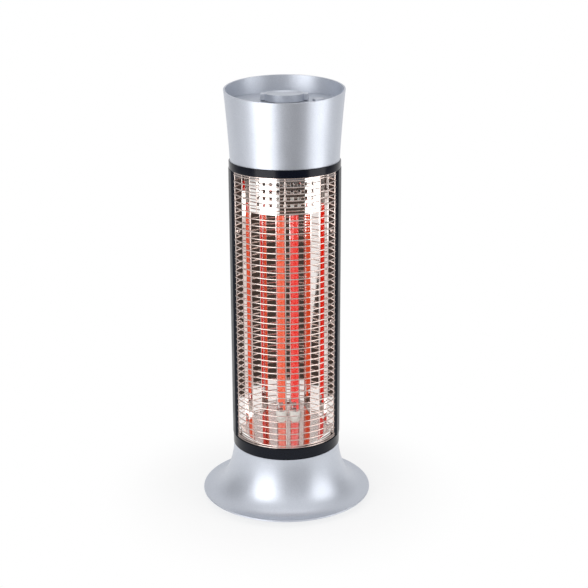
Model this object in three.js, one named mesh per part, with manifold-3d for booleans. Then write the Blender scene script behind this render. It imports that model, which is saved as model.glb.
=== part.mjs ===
// Carbon tower heater: a flared round foot that holds a swing drive, a turning column with two
// carbon tubes in front of a folded reflector, and a slanted head with a dial and a push button.
// Millimetres, +Z up. The origin is on the floor, on the column's axis. The front faces -Y.

import * as THREE from 'three';
import { mergeVertices } from 'three/addons/utils/BufferGeometryUtils.js';
import Module from 'manifold-3d';

const wasm = await Module();
wasm.setup();

// Driving heights, from the floor up
const plateLift = 1.5;
const baseHeight = 84;
const swingGap = 0.6;
const lowerRingHeight = 16.4;
const windowHeight = 399.6;
const upperRingHeight = 10.8;
const rimRise = 99.6;
const rimTilt = 5.9;

// Driving widths
const baseRimRadius = 126;
const baseNeckRadius = 78.8;
const columnRadius = 80;
const ringRadius = 79.5;
const headFootRadius = 77.8;
const headRimRadius = 85.2;

// Fits and general values
const clearance = 0.3;
const overrun = 3;
const roundSegments = 28;
const middleSegments = 20;
const smallSegments = 12;
const screwSegments = 6;
const mergeDistance = 0.0001;

// Base shell: a trumpet whose flare follows a rounded curve
const shellWall = 2;
const deckWall = 3;
const neckStraight = 2;
const flareFootHeight = 10.8;
const lipRound = 1.5;
const lipHeight = 2;
const flareSteps = 8;
const flareRadiusShare = 0.81;
const flareHeightShare = 1.21;

// Base plate, feet, ballast and the screws that hold plate and shell together
const plateInset = 13.5;
const plateWall = 2.5;
const plateRimWall = 2;
const footCount = 4;
const footRadius = 9;
const footTaper = 0.8;
const footCircleShare = 0.88;
const footPegRadius = 2.5;
const footPegHeight = 4;
const ballastInner = 34;
const ballastOuter = 60;
const ballastHeight = 14;
const bossCircleShare = 0.7467;
const bossRadius = 4.5;
const screwShank = 1.5;
const screwHead = 3;
const screwHeadHeight = 1;
const baseScrewLength = 14;

// Cord inlet at the back of the base
const glandHeight = 24;
const glandBore = 3.4;
const glandBody = 7;
const glandCollar = 9;
const glandCollarThick = 3;
const glandTail = 4.8;
const glandTailLength = 11;
const glandRingThick = 2.5;
const glandCollarGap = 1.16;
const glandRingInset = 7.11;

// Tip-over switch with its plunger
const tipCircle = 72;
const tipBodySize = 17;
const tipBodyHeight = 22;
const plungerRadius = 3;
const plungerLength = 18;
const plungerFloorGap = 0.2;
const plungerCollar = 5;
const plungerCollarThick = 1.5;
const plungerTravel = 4;

// Swivel: bush in the base deck, flanged hub of the column, thrust washer
const hubBore = 12;
const hubRadius = 16;
const hubFlangeRadius = 35;
const hubFlangeThick = 3;
const hubDrop = 3;
const bushWall = 3.7;
const bushFlangeRadius = 27;
const bushFlangeThick = 2;
const washerOuter = 25;
const hubScrewCount = 3;
const hubScrewCircle = 31;
const hubScrewHead = 2.6;
const hubScrewHeadHeight = 1.4;

// Swing drive: motor, crank and slotted arm, all behind the column's axis
const motorOffset = 30;
const crankThrow = 21;
const motorRadius = 25;
const motorHeight = 18;
const motorEarReach = 33;
const motorEarWidth = 9;
const motorEarThick = 1;
const motorShaftRadius = 2.5;
const armThick = 4;
const armHubRadius = 26;
const armHalfWidth = 9;
const armEndMargin = 5;
const armToCrank = 3;
const crankThick = 3;
const crankHubRadius = 7;
const crankPinRadius = 3;
const crankPinRoot = 4.5;
const slotPlay = 0.85;
const slotEndPlay = 2.5;
const bracketPlate = 2;
const bracketToCrank = 1.7;
const bracketInset = 14.8;
const bracketDepth = 16;
const bracketFootLength = 10;
const bracketShaftHole = 6;

// Black rings with their decks
const ringLip = 1.4;
const ringStep = 4;
const ringWall = 5;
const ringDeck = 2.5;
const lowerLipDepth = 6.5;
const upperLipDepth = 4.4;
const upperDeckRise = 2;
const wireHoleRadius = 20;

// Rear housing: a shell bent round the back, with returns along the window
const housingWall = 2;
const windowEdgeDepth = 27;
const returnEnd = 62;
const ventRows = 4;
const ventColumns = 2;
const ventHeight = 3;
const ventPitch = 10;
const ventWidth = 30;
const ventColumnAngle = 33.75;
const ventMargin = 24;

// Folded reflector sheet, drawn as the front face of its right half
const sheet = 1;
const flangeEnd = 69.4;
const flangeStart = 60;
const wingX = 56;
const wingDepth = 18;
const shoulderX = 49;
const shoulderDepth = 9;
const ridgeX = 36;
const ridgeDepth = 7;
const troughX = 27.5;
const troughDepth = 12;
const reflectorScrewX = 66.4;
const reflectorScrewPitchShare = 0.3363;
const reflectorScrewMiddleShare = 0.4474;
const reflectorScrewRows = 3;
const reflectorScrewLength = 6;
const reflectorScrewHead = 2.6;

// Chamber floor: a bright sheet that slopes down to the window
const floorSlopeAngle = 20;
const floorFrontRadius = 74.4;
const floorFrontRise = 0.6;
const floorSkirtHalfAngle = 55;
const capHoleGap = 0.6;

// Carbon tubes
const tubePitch = 20;
const tubeShift = 3;
const tubeForward = 8;
const quartzRadius = 7;
const quartzWall = 1;
const glowStart = 45.4;
const glowHeadroom = 68.9;
const quartzEnd = 18;
const capRadius = 8.5;
const capSocket = 6;
const capBody = 16;
const coilTurns = 16;
const coilSteps = 8;
const coilSides = 5;
const coilRadius = 4;
const coilWire = 1.35;
const coilEndGap = 0.4;
const coilLeadSteps = 3;

// Brackets that carry the tube caps
const capPlate = 2;
const capPlateHalf = 22;
const capPlateDepth = 16;

// Perforated shield in front of the tubes' upper ends
const shieldRadius = 68;
const shieldThick = 1;
const shieldDrop = 54.6;
const shieldHoleRows = 4;
const shieldHoleColumns = 9;
const shieldHoleWidth = 4.5;
const shieldHoleHeight = 3.4;
const shieldHolePitch = 10;
const shieldFirstRow = 13;

// Front grille: cross wires welded between uprights into one piece
const grilleRadius = 77;
const grilleWire = 1.7;
const grilleHalfAngle = 68;
const grilleArcCount = 43;
const grilleBaySegments = 2;
const grilleEdge = 4.2;
const grilleDoubling = 3.2;
const grilleTang = 1.2;
const grilleUprightShares = [-1, -0.59, 0, 0.59, 1];

// Head: shell, control panel and what is mounted on it
const headWall = 2.5;
const headSteps = 5;
const headFlareShare = 1.3;
const panelDrop = 16.5;
const panelThick = 2.5;
const ledgeWidth = 4;
const ledgeHeight = 3;
const dialRadius = 28;
const dialHeight = 9.8;
const dialLift = 0.7;
const dialDish = 2;
const dialRimWidth = 2;
const dialDishSlope = 2.5;
const dialLugReach = 33.5;
const dialLugHalf = 6;
const dialLugSink = 4;
const spindleRadius = 3;
const spindleInDial = 5;
const spindleInSwitch = 12;
const spindleHoleGap = 1;
const switchSize = 36;
const switchHeight = 22;
const buttonX = 48;
const buttonRadius = 8.8;
const buttonProud = 3.2;
const buttonBelow = 5.5;
const buttonFlange = 10.2;
const buttonFlangeThick = 3.5;
const buttonCrown = 0.8;
const buttonTravel = 3;
const buttonRestGap = 0.5;
const buttonSwitchSize = 27;
const buttonSwitchFloor = 8;
const terminalWidth = 44;
const terminalDepth = 18;
const terminalHeight = 15;
const terminalBack = 45;

// Levels and places that follow from the values above
const fullTurn = 360;
const deg = (2 * Math.PI) / fullTurn;
const plateTop = plateLift + plateWall;
const plateRadius = baseRimRadius - plateInset;
const footCircle = plateRadius * footCircleShare;
const bossCircle = plateRadius * bossCircleShare;
const deckBottom = baseHeight - deckWall;
const bushTop = baseHeight + bushFlangeThick;
const hubFlangeBottom = bushTop + clearance;
const lowerDeckBottom = hubFlangeBottom + hubFlangeThick;
const lowerDeckTop = lowerDeckBottom + ringDeck;
const lowerRingBottom = baseHeight + swingGap;
const windowBottom = lowerRingBottom + lowerRingHeight;
const windowTop = windowBottom + windowHeight;
const upperLipTop = windowTop + upperLipDepth;
const upperDeckBottom = upperLipTop + upperDeckRise;
const upperDeckTop = upperDeckBottom + ringDeck;
const headBottom = windowTop + upperRingHeight;
const rimCentre = headBottom + rimRise;
const panelTop = rimCentre - panelDrop;
const panelBottom = panelTop - panelThick;
const dialBottom = panelTop + dialLift;
const hubBottom = deckBottom - hubDrop;
const armBottom = hubBottom - armThick;
const crankTop = armBottom - armToCrank;
const crankBottom = crankTop - crankThick;
const bracketTop = crankBottom - bracketToCrank;
const bracketBottom = bracketTop - bracketPlate;
const bracketFootBottom = deckBottom - bracketPlate;
const bracketFootReach = baseNeckRadius - bracketInset;
const bracketHalfWidth = bracketFootReach - bracketFootLength;
const bracketScrewReach = bracketFootReach - bracketFootLength / 2;
const motorTop = bracketBottom;
const grilleInner = grilleRadius - grilleWire / 2;
const glowBottom = windowBottom + glowStart;
const glowLength = windowHeight - glowStart - glowHeadroom;
const quartzBottom = glowBottom - quartzEnd;
const quartzTop = glowBottom + glowLength + quartzEnd;
const lowerCapBottom = quartzBottom - capBody;
const upperCapTop = quartzTop + capBody;
const tubePlaces = [
  { side: 'left', x: tubeShift - tubePitch / 2 },
  { side: 'right', x: tubeShift + tubePitch / 2 },
];

// Finishes
const finish = (color, roughness, metalness) => (
  new THREE.MeshStandardMaterial({ color, roughness, metalness })
);
const silverPaint = finish(0xc6cbd3, 0.35, 0.6);
const blackGloss = finish(0x14171d, 0.2, 0);
const blackSteel = finish(0x1b1e24, 0.45, 0.4);
const mirrorSteel = finish(0xb7a99f, 0.12, 1);
const chromeWire = finish(0xd8cdc8, 0.18, 1);
const zincSteel = finish(0x9a9da1, 0.4, 1);
const whiteCeramic = finish(0xe9e4dc, 0.6, 0);
const quartzGlass = finish(0xdfe6ea, 0.05, 0);
const glowingCarbon = finish(0xff5a28, 0.8, 0);
const darkPlastic = finish(0x26282c, 0.55, 0);
const whitePlastic = finish(0xd9d8d2, 0.5, 0);
const blackRubber = finish(0x1d1d1e, 0.85, 0);
const greyIron = finish(0x55585b, 0.7, 0.5);

// Merges shared corners and leaves out triangles that have collapsed.
function tidy(geometry) {
  const bare = geometry.clone();
  bare.deleteAttribute('normal');
  bare.deleteAttribute('uv');
  const merged = mergeVertices(bare, mergeDistance);
  const kept = [];
  const index = merged.index.array;
  for (let i = 0; i < index.length; i += 3) {
    const [a, b, c] = [index[i], index[i + 1], index[i + 2]];
    if (a !== b && b !== c && c !== a) kept.push(a, b, c);
  }
  merged.setIndex(kept);
  return merged;
}

// Signed volume of a closed mesh, which is negative when it is inside out.
function signedVolume(geometry) {
  const place = geometry.attributes.position;
  const index = geometry.index.array;
  const corners = [new THREE.Vector3(), new THREE.Vector3(), new THREE.Vector3()];
  let volume = 0;
  for (let i = 0; i < index.length; i += 3) {
    corners.forEach((corner, k) => corner.fromBufferAttribute(place, index[i + k]));
    volume += corners[0].dot(corners[1].cross(corners[2])) / 6;
  }
  return volume;
}

// A tidy geometry whose faces point outwards.
function closed(geometry) {
  const merged = tidy(geometry);
  if (signedVolume(merged) < 0) {
    merged.setIndex(Array.from(merged.index.array).reverse());
  }
  return merged;
}

// A solid for cutting and joining.
function solid(geometry) {
  const body = closed(geometry);
  return new wasm.Manifold(new wasm.Mesh({
    numProp: 3,
    vertProperties: new Float32Array(body.attributes.position.array),
    triVerts: new Uint32Array(body.index.array),
  }));
}

// The geometry of a solid.
function shaped(body) {
  const mesh = body.getMesh();
  const geometry = new THREE.BufferGeometry();
  geometry.setAttribute('position', new THREE.BufferAttribute(mesh.vertProperties, 3));
  geometry.setIndex(Array.from(mesh.triVerts));
  return geometry;
}

// Joins some geometries and cuts others out of the result.
function carve(parts, holes = []) {
  const body = parts.map(solid).reduce((sum, part) => sum.add(part));
  const left = holes.map(solid).reduce((rest, hole) => rest.subtract(hole), body);
  return shaped(left);
}

// The space that two geometries share.
function common(first, second) {
  return shaped(solid(first).intersect(solid(second)));
}

// A body of revolution about Z from a closed outline of [radius, height] points.
function lathe(outline, segments = roundSegments) {
  const points = [...outline, outline[0]].map(([r, z]) => new THREE.Vector2(r, z));
  return new THREE.LatheGeometry(points, segments).rotateX(Math.PI / 2);
}

// A ring or a disc between two radii and two heights.
function ring(inner, outer, bottom, top, segments = roundSegments) {
  return lathe([[inner, bottom], [outer, bottom], [outer, top], [inner, top]], segments);
}

// A vertical cylinder about a point of the plan.
function post(x, y, radius, bottom, top, segments = smallSegments) {
  return ring(0, radius, bottom, top, segments).translate(x, y, 0);
}

// A box between two opposite corners.
function block(corner, opposite) {
  const size = opposite.map((value, axis) => Math.abs(value - corner[axis]));
  const middle = opposite.map((value, axis) => (value + corner[axis]) / 2);
  return new THREE.BoxGeometry(...size).translate(...middle);
}

// A plan outline raised between two heights, with round or cut holes.
function raise(outline, bottom, top, holes = []) {
  const shape = new THREE.Shape(outline.map(([x, y]) => new THREE.Vector2(x, y)));
  shape.holes = holes;
  const depth = top - bottom;
  return new THREE.ExtrudeGeometry(shape, { depth, bevelEnabled: false }).translate(0, 0, bottom);
}

// A round hole for a raised outline.
function roundHole(x, y, radius, segments = smallSegments) {
  const points = Array.from({ length: segments }, (_, i) => {
    const angle = (i / segments) * 2 * Math.PI;
    return new THREE.Vector2(x + radius * Math.cos(angle), y + radius * Math.sin(angle));
  });
  return new THREE.Path(points);
}

// Points of an arc about the axis. Angles are in degrees from the front, positive to the right.
function arc(radius, from, to, segments) {
  return Array.from({ length: segments + 1 }, (_, i) => {
    const angle = (from + (to - from) * (i / segments)) * deg;
    return [radius * Math.sin(angle), -radius * Math.cos(angle)];
  });
}

// A strip bent about the axis, between two radii, two angles and two heights.
function bentStrip(inner, outer, from, to, bottom, top, segments) {
  const outline = [...arc(outer, from, to, segments), ...arc(inner, to, from, segments)];
  return raise(outline, bottom, top);
}

// An outline moved sideways by a distance, with its corners kept sharp.
function offsetLine(points, distance) {
  const normals = points.slice(1).map(([x, y], i) => {
    const along = new THREE.Vector2(x - points[i][0], y - points[i][1]).normalize();
    return new THREE.Vector2(-along.y, along.x);
  });
  return points.map(([x, y], i) => {
    const before = normals[Math.max(i - 1, 0)];
    const after = normals[Math.min(i, normals.length - 1)];
    const mitre = before.clone().add(after).normalize();
    const reach = distance / mitre.dot(after);
    return [x + mitre.x * reach, y + mitre.y * reach];
  });
}

// The same number of places round the axis, turned by a start angle in radians.
function placesRound(count, radius, start) {
  return Array.from({ length: count }, (_, i) => {
    const angle = start + (i / count) * 2 * Math.PI;
    return { x: radius * Math.cos(angle), y: radius * Math.sin(angle) };
  });
}

// A screw that points up, with the underside of its head at zero.
function screw(length, head, headHeight) {
  return lathe([
    [0, -headHeight], [head, -headHeight], [head, 0],
    [screwShank, 0], [screwShank, length], [0, length],
  ], screwSegments);
}

// A hole for a screw's shank that runs up through a sheet.
function screwHole(x, y, bottom, top) {
  return post(x, y, screwShank + clearance, bottom - overrun, top + overrun, screwSegments);
}

// A hole for a screw's shank that runs back through a sheet whose front face is at a depth.
function screwHoleBack({ x, z }, y) {
  return screwHole(0, 0, 0, 0).rotateX(Math.PI / 2).translate(x, y, z);
}

// The scene: a standing base, the column that swings on it, and the small parts that move
const heater = new THREE.Group();
const base = new THREE.Group();
const column = new THREE.Group();
const crank = new THREE.Group();
const plunger = new THREE.Group();
const dial = new THREE.Group();
const button = new THREE.Group();
heater.add(base, column);
base.add(crank, plunger);
column.add(dial, button);
crank.position.set(0, motorOffset, 0);
plunger.position.set(-tipCircle, 0, 0);
dial.position.set(0, 0, dialBottom);
button.position.set(buttonX, 0, 0);

// Puts a geometry into a group as a named piece with a material of its own.
function piece(group, name, geometry, material, place = {}) {
  const body = closed(geometry).toNonIndexed();
  body.computeVertexNormals();
  const mesh = new THREE.Mesh(body, material.clone());
  mesh.name = name;
  mesh.position.set(place.x ?? 0, place.y ?? 0, place.z ?? 0);
  mesh.rotation.x = place.turn ?? 0;
  group.add(mesh);
}

// Base shell
const flareTop = baseHeight - neckStraight;
const flareEndRadius = baseRimRadius - lipRound;
const lipBottom = flareFootHeight - lipHeight;

function flareLine() {
  return Array.from({ length: flareSteps + 1 }, (_, i) => {
    const angle = (i / flareSteps) * (Math.PI / 2);
    const inward = Math.cos(angle) ** flareRadiusShare;
    const down = Math.sin(angle) ** flareHeightShare;
    const reach = (flareEndRadius - baseNeckRadius) * (i < flareSteps ? inward : 0);
    return [flareEndRadius - reach, flareTop - (flareTop - flareFootHeight) * down];
  });
}

// Radius of the flare's outer face at a height.
function flareRadiusAt(height) {
  const down = (flareTop - height) / (flareTop - flareFootHeight);
  const angle = Math.asin(down ** (1 / flareHeightShare));
  const inward = Math.cos(angle) ** flareRadiusShare;
  return flareEndRadius - (flareEndRadius - baseNeckRadius) * inward;
}

function flareInside(depth) {
  return offsetLine(flareLine(), -depth).map(([r, z]) => [r, Math.max(z, lipBottom)]);
}

function heightUnderFlare(radius) {
  const line = flareInside(shellWall);
  const next = Math.max(line.findIndex(([r]) => r > radius), 1);
  const [r0, z0] = line[next - 1];
  const [r1, z1] = line[next];
  return z0 + ((z1 - z0) * (radius - r0)) / (r1 - r0);
}

const bushRadius = hubRadius + clearance + bushWall;
const bossPlaces = placesRound(footCount, bossCircle, Math.PI / footCount);
const bracketScrewPlaces = [
  { side: 'left', x: -bracketScrewReach, y: motorOffset },
  { side: 'right', x: bracketScrewReach, y: motorOffset },
];
const inletOutline = ring(0, glandBody + clearance, 0, baseRimRadius, smallSegments)
  .rotateX(-Math.PI / 2).translate(0, 0, glandHeight);

function baseShell() {
  const inner = flareInside(shellWall).filter((_, i) => i % 2 === 0).reverse();
  const neckInside = inner[inner.length - 1][0];
  const hole = bushRadius + clearance;
  const outline = [
    [hole, baseHeight], [baseNeckRadius, baseHeight], ...flareLine(),
    [baseRimRadius, flareFootHeight - lipRound], [baseRimRadius, lipBottom], ...inner,
    [neckInside, deckBottom], [hole, deckBottom],
  ];
  const filled = lathe([
    [0, deckBottom], [baseNeckRadius - shellWall / 2, deckBottom],
    ...flareInside(shellWall / 2), [0, lipBottom],
  ]);
  const bosses = bossPlaces.map(({ x, y }) => (
    common(post(x, y, bossRadius, plateTop + clearance, deckBottom, screwSegments), filled)
  ));
  const pilots = bossPlaces.map(({ x, y }) => (
    screwHole(x, y, plateTop, plateTop + baseScrewLength - overrun)
  ));
  const bracketHoles = bracketScrewPlaces.map(({ x, y }) => screwHole(x, y, deckBottom, baseHeight));
  return carve([lathe(outline), ...bosses], [...pilots, ...bracketHoles, inletOutline]);
}

piece(base, 'base_shell', baseShell(), silverPaint);

// Base plate with its feet, ballast and screws
const footPlaces = placesRound(footCount, footCircle, Math.PI / footCount);

function basePlate() {
  const rimTop = heightUnderFlare(plateRadius) - clearance;
  const outline = [
    [0, plateLift], [plateRadius, plateLift], [plateRadius, rimTop],
    [plateRadius - plateRimWall, rimTop], [plateRadius - plateRimWall, plateTop], [0, plateTop],
  ];
  const through = (x, y, radius) => (
    post(x, y, radius + clearance, plateLift - overrun, plateTop + overrun)
  );
  const holes = [
    ...bossPlaces.map(({ x, y }) => screwHole(x, y, plateLift, plateTop)),
    ...footPlaces.map(({ x, y }) => through(x, y, footPegRadius)),
    through(-tipCircle, 0, plungerRadius),
  ];
  return carve([lathe(outline)], holes);
}

function foot() {
  const pegTop = plateLift + footPegHeight;
  return lathe([
    [0, 0], [footRadius - footTaper, 0], [footRadius, footTaper], [footRadius, plateLift],
    [footPegRadius, plateLift], [footPegRadius, pegTop], [0, pegTop],
  ], smallSegments);
}

const ballast = ring(ballastInner, ballastOuter, 0, ballastHeight, middleSegments);

piece(base, 'base_plate', basePlate(), silverPaint);
piece(base, 'ballast_ring', ballast, greyIron, { z: plateTop });
footPlaces.forEach((place, i) => piece(base, `foot_${i + 1}`, foot(), blackRubber, place));
bossPlaces.forEach((place, i) => {
  const shape = screw(baseScrewLength, screwHead, screwHeadHeight);
  piece(base, `base_screw_${i + 1}`, shape, zincSteel, { ...place, z: plateLift });
});

// Cord inlet: a bored bush with a ring inside and a collar outside, drawn upright and laid back
function cordGland() {
  const glandCollarReach = flareRadiusAt(glandHeight - glandCollar) + glandCollarGap;
  const glandRingReach = flareRadiusAt(glandHeight + glandCollar) - glandRingInset;
  const collarEnd = glandCollarReach + glandCollarThick;
  const tip = collarEnd + glandTailLength;
  const outline = [
    [glandBore, glandRingReach], [glandCollar, glandRingReach],
    [glandCollar, glandRingReach + glandRingThick], [glandBody, glandRingReach + glandRingThick],
    [glandBody, glandCollarReach], [glandCollar, glandCollarReach], [glandCollar, collarEnd],
    [glandBody, collarEnd], [glandTail, tip], [glandBore, tip],
  ];
  return lathe(outline, smallSegments);
}

piece(base, 'cord_gland', cordGland(), blackRubber, { z: glandHeight, turn: -Math.PI / 2 });

// Tip-over switch: a box on the plate, and a plunger that the floor holds up
function tipSwitch() {
  const half = tipBodySize / 2;
  const bottom = plateTop;
  const collarRoom = bottom + plungerTravel + 2 * clearance + plungerCollarThick;
  return carve(
    [block([-half, -half, bottom], [half, half, bottom + tipBodyHeight])],
    [
      post(0, 0, plungerCollar + clearance, bottom - overrun, collarRoom),
      post(0, 0, plungerRadius + clearance, bottom, plungerFloorGap + plungerLength + clearance),
    ],
  );
}

function tipPlunger() {
  const top = plungerFloorGap + plungerLength;
  const collar = plateTop + plungerTravel + clearance;
  const outline = [
    [0, plungerFloorGap], [plungerRadius, plungerFloorGap], [plungerRadius, collar],
    [plungerCollar, collar], [plungerCollar, collar + plungerCollarThick],
    [plungerRadius, collar + plungerCollarThick], [plungerRadius, top], [0, top],
  ];
  return lathe(outline, smallSegments);
}

piece(base, 'tip_switch', tipSwitch(), darkPlastic, { x: -tipCircle });
piece(plunger, 'tip_plunger', tipPlunger(), whitePlastic);

// Swivel: bush, hub, thrust washer and the hub's screws
function swivelBush() {
  const bore = hubRadius + clearance;
  return lathe([
    [bore, deckBottom], [bushRadius, deckBottom], [bushRadius, baseHeight],
    [bushFlangeRadius, baseHeight], [bushFlangeRadius, bushTop], [bore, bushTop],
  ], middleSegments);
}

const hubScrewPlaces = placesRound(hubScrewCount, hubScrewCircle, Math.PI / 2);

function swivelHub() {
  const body = lathe([
    [hubBore, hubBottom], [hubRadius, hubBottom], [hubRadius, hubFlangeBottom],
    [hubFlangeRadius, hubFlangeBottom], [hubFlangeRadius, lowerDeckBottom], [hubBore, lowerDeckBottom],
  ], middleSegments);
  const holes = hubScrewPlaces.map(({ x, y }) => screwHole(x, y, hubFlangeBottom, lowerDeckBottom));
  return carve([body], holes);
}

function thrustWasher() {
  const [bottom, top] = [hubBottom + clearance, deckBottom - clearance];
  return ring(hubRadius + clearance, washerOuter, bottom, top, middleSegments);
}

piece(base, 'swivel_bush', swivelBush(), whitePlastic);
piece(column, 'swivel_hub', swivelHub(), darkPlastic);
piece(column, 'thrust_washer', thrustWasher(), zincSteel);
hubScrewPlaces.forEach((place, i) => {
  const shape = screw(hubFlangeThick + ringDeck, hubScrewHead, hubScrewHeadHeight);
  piece(column, `hub_screw_${i + 1}`, shape, zincSteel, { ...place, z: hubFlangeBottom });
});

// Swing drive: a slotted arm on the hub, moved by the pin of a crank on the motor's shaft
function swingArm() {
  const farPin = motorOffset + crankThrow;
  const nearPin = Math.hypot(motorOffset, crankThrow);
  const slotHalf = crankPinRadius + slotPlay;
  const end = farPin + slotEndPlay + slotHalf + armEndMargin;
  const hub = ring(hubBore, armHubRadius, armBottom, hubBottom, middleSegments);
  const bar = block([-armHalfWidth, hubRadius, armBottom], [armHalfWidth, end, hubBottom]);
  const slotBox = block([-slotHalf, nearPin - slotEndPlay, armBottom - overrun],
    [slotHalf, farPin + slotEndPlay, hubBottom + overrun]);
  const slotEnds = [nearPin - slotEndPlay, farPin + slotEndPlay].map((y) => (
    post(0, y, slotHalf, armBottom - overrun, hubBottom + overrun)
  ));
  return carve([hub, bar], [slotBox, ...slotEnds]);
}

function driveCrank() {
  return carve([
    post(0, 0, crankHubRadius, crankBottom, crankTop),
    post(0, crankThrow, crankPinRoot, crankBottom, crankTop),
    block([-crankPinRoot, 0, crankBottom], [crankPinRoot, crankThrow, crankTop]),
    post(0, crankThrow, crankPinRadius, crankBottom, hubBottom - clearance),
    post(0, 0, motorShaftRadius, motorTop + clearance, crankTop),
  ]);
}

function swingMotor() {
  const half = motorEarWidth / 2;
  const can = post(0, 0, motorRadius, -motorHeight, 0, middleSegments);
  const ears = block([-motorEarReach, -half, -motorEarThick], [motorEarReach, half, 0]);
  return carve([can, ears]);
}

function motorBracket() {
  const front = motorOffset - bracketDepth / 2;
  const back = motorOffset + bracketDepth / 2;
  const plate = block([-bracketHalfWidth, front, bracketBottom], [bracketHalfWidth, back, bracketTop]);
  const legs = [-1, 1].map((sign) => (
    block([sign * (bracketHalfWidth - bracketPlate), front, bracketBottom],
      [sign * bracketHalfWidth, back, deckBottom])
  ));
  const feet = [-1, 1].map((sign) => (
    block([sign * (bracketHalfWidth - bracketPlate), front, bracketFootBottom],
      [sign * bracketFootReach, back, deckBottom])
  ));
  const holes = bracketScrewPlaces.map(({ x, y }) => screwHole(x, y, bracketFootBottom, deckBottom));
  const shaft = post(0, motorOffset, bracketShaftHole, bracketBottom - overrun, bracketTop + overrun);
  return carve([plate, ...legs, ...feet], [...holes, shaft]);
}

piece(column, 'swing_arm', swingArm(), zincSteel);
piece(crank, 'drive_crank', driveCrank(), whitePlastic);
piece(base, 'swing_motor', swingMotor(), zincSteel, { y: motorOffset, z: motorTop });
piece(base, 'motor_bracket', motorBracket(), zincSteel);
bracketScrewPlaces.forEach(({ side, x, y }) => {
  const shape = screw(bracketPlate + deckWall, screwHead, screwHeadHeight);
  piece(base, `bracket_screw_${side}`, shape, zincSteel, { x, y, z: bracketFootBottom });
});

// Black rings at both ends of the window
const ringInner = ringRadius - ringLip;
const ringShoulder = ringRadius - ringStep;
const ringWallInner = ringRadius - ringWall;

function lowerRing() {
  const lipBase = windowBottom - lowerLipDepth;
  const body = lathe([
    [hubBore, lowerDeckBottom], [ringWallInner, lowerDeckBottom], [ringWallInner, lowerRingBottom],
    [ringRadius, lowerRingBottom], [ringRadius, windowBottom], [ringInner, windowBottom],
    [ringInner, lipBase], [ringShoulder, lipBase], [ringShoulder, lowerDeckTop], [hubBore, lowerDeckTop],
  ]);
  const holes = hubScrewPlaces.map(({ x, y }) => screwHole(x, y, lowerDeckBottom, lowerDeckTop));
  return carve([body], holes);
}

function upperRing() {
  return lathe([
    [wireHoleRadius, upperDeckBottom], [ringShoulder, upperDeckBottom], [ringShoulder, upperLipTop],
    [ringInner, upperLipTop], [ringInner, windowTop], [ringRadius, windowTop],
    [ringRadius, headBottom], [ringWallInner, headBottom], [ringWallInner, upperDeckTop],
    [wireHoleRadius, upperDeckTop],
  ]);
}

piece(column, 'lower_ring', lowerRing(), blackGloss);
piece(column, 'upper_ring', upperRing(), blackGloss);

// Rear housing, from one edge of the window round the back to the other
const windowEdgeX = Math.sqrt(columnRadius ** 2 - windowEdgeDepth ** 2);
const flangeFront = -windowEdgeDepth - sheet;

function rearHousing() {
  const inner = columnRadius - housingWall;
  const returnDepth = windowEdgeDepth - housingWall;
  const outerEdge = Math.atan2(windowEdgeX, windowEdgeDepth) / deg;
  const innerEdge = Math.asin(Math.sqrt(inner ** 2 - returnDepth ** 2) / inner) / deg;
  const outline = [
    ...arc(columnRadius, outerEdge, fullTurn - outerEdge, middleSegments),
    [-returnEnd, -windowEdgeDepth], [-returnEnd, -returnDepth],
    ...arc(inner, fullTurn - innerEdge, innerEdge, middleSegments),
    [returnEnd, -returnDepth], [returnEnd, -windowEdgeDepth],
  ];
  const holes = reflectorScrewPlaces().map((place) => screwHoleBack(place, -windowEdgeDepth));
  return carve([raise(outline, windowBottom, windowTop)], [...ventSlots(inner), ...holes]);
}

// Two fields of vent slots at the back, near the housing's lower and upper edge.
function ventSlots(inner) {
  const fieldHeight = (ventRows - 1) * ventPitch + ventHeight;
  const fields = [windowBottom + ventMargin, windowTop - ventMargin - fieldHeight];
  const slots = [];
  fields.forEach((field) => {
    for (let row = 0; row < ventRows; row += 1) {
      for (let file = 0; file < ventColumns; file += 1) {
        const turn = (file - (ventColumns - 1) / 2) * ventColumnAngle * deg;
        const bottom = field + row * ventPitch;
        const slot = block([-ventWidth / 2, inner - overrun, bottom],
          [ventWidth / 2, columnRadius + overrun, bottom + ventHeight]);
        slots.push(slot.rotateZ(turn));
      }
    }
  });
  return slots;
}

// Reflector: the front face of the folded sheet from left to right
function reflectorFace() {
  const half = [
    [troughX, troughDepth], [ridgeX, -ridgeDepth], [shoulderX, -shoulderDepth],
    [wingX, -wingDepth], [flangeStart, flangeFront], [flangeEnd, flangeFront],
  ];
  const mirrored = half.map(([x, y]) => [-x, y]).reverse();
  return [...mirrored, ...half];
}

function reflectorScrewPlaces() {
  const rows = Array.from({ length: reflectorScrewRows }, (_, i) => (
    windowBottom + windowHeight * (
      reflectorScrewMiddleShare + (i - (reflectorScrewRows - 1) / 2) * reflectorScrewPitchShare
    )
  ));
  return [-1, 1].flatMap((sign) => rows.map((z) => ({ x: sign * reflectorScrewX, z })));
}

function reflector() {
  const face = reflectorFace();
  const back = offsetLine(face, sheet).reverse();
  const holes = reflectorScrewPlaces().map((place) => screwHoleBack(place, flangeFront));
  return carve([raise([...face, ...back], lowerDeckTop, upperDeckBottom)], holes);
}

piece(column, 'rear_housing', rearHousing(), blackSteel);
piece(column, 'reflector', reflector(), mirrorSteel);
reflectorScrewPlaces().forEach((place, i) => {
  const shape = screw(reflectorScrewLength, reflectorScrewHead, screwHeadHeight);
  piece(column, `reflector_screw_${i + 1}`, shape, zincSteel,
    { ...place, y: flangeFront, turn: -Math.PI / 2 });
});

// Chamber floor: a sloping sheet between window and reflector, on a skirt that stands on the deck
function slopedSlab(thickness, lift) {
  const reach = 2 * columnRadius;
  return block([-reach, -reach, -thickness], [reach, reach, 0])
    .rotateX(floorSlopeAngle * deg)
    .translate(0, -floorFrontRadius, windowBottom + floorFrontRise + lift);
}

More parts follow.
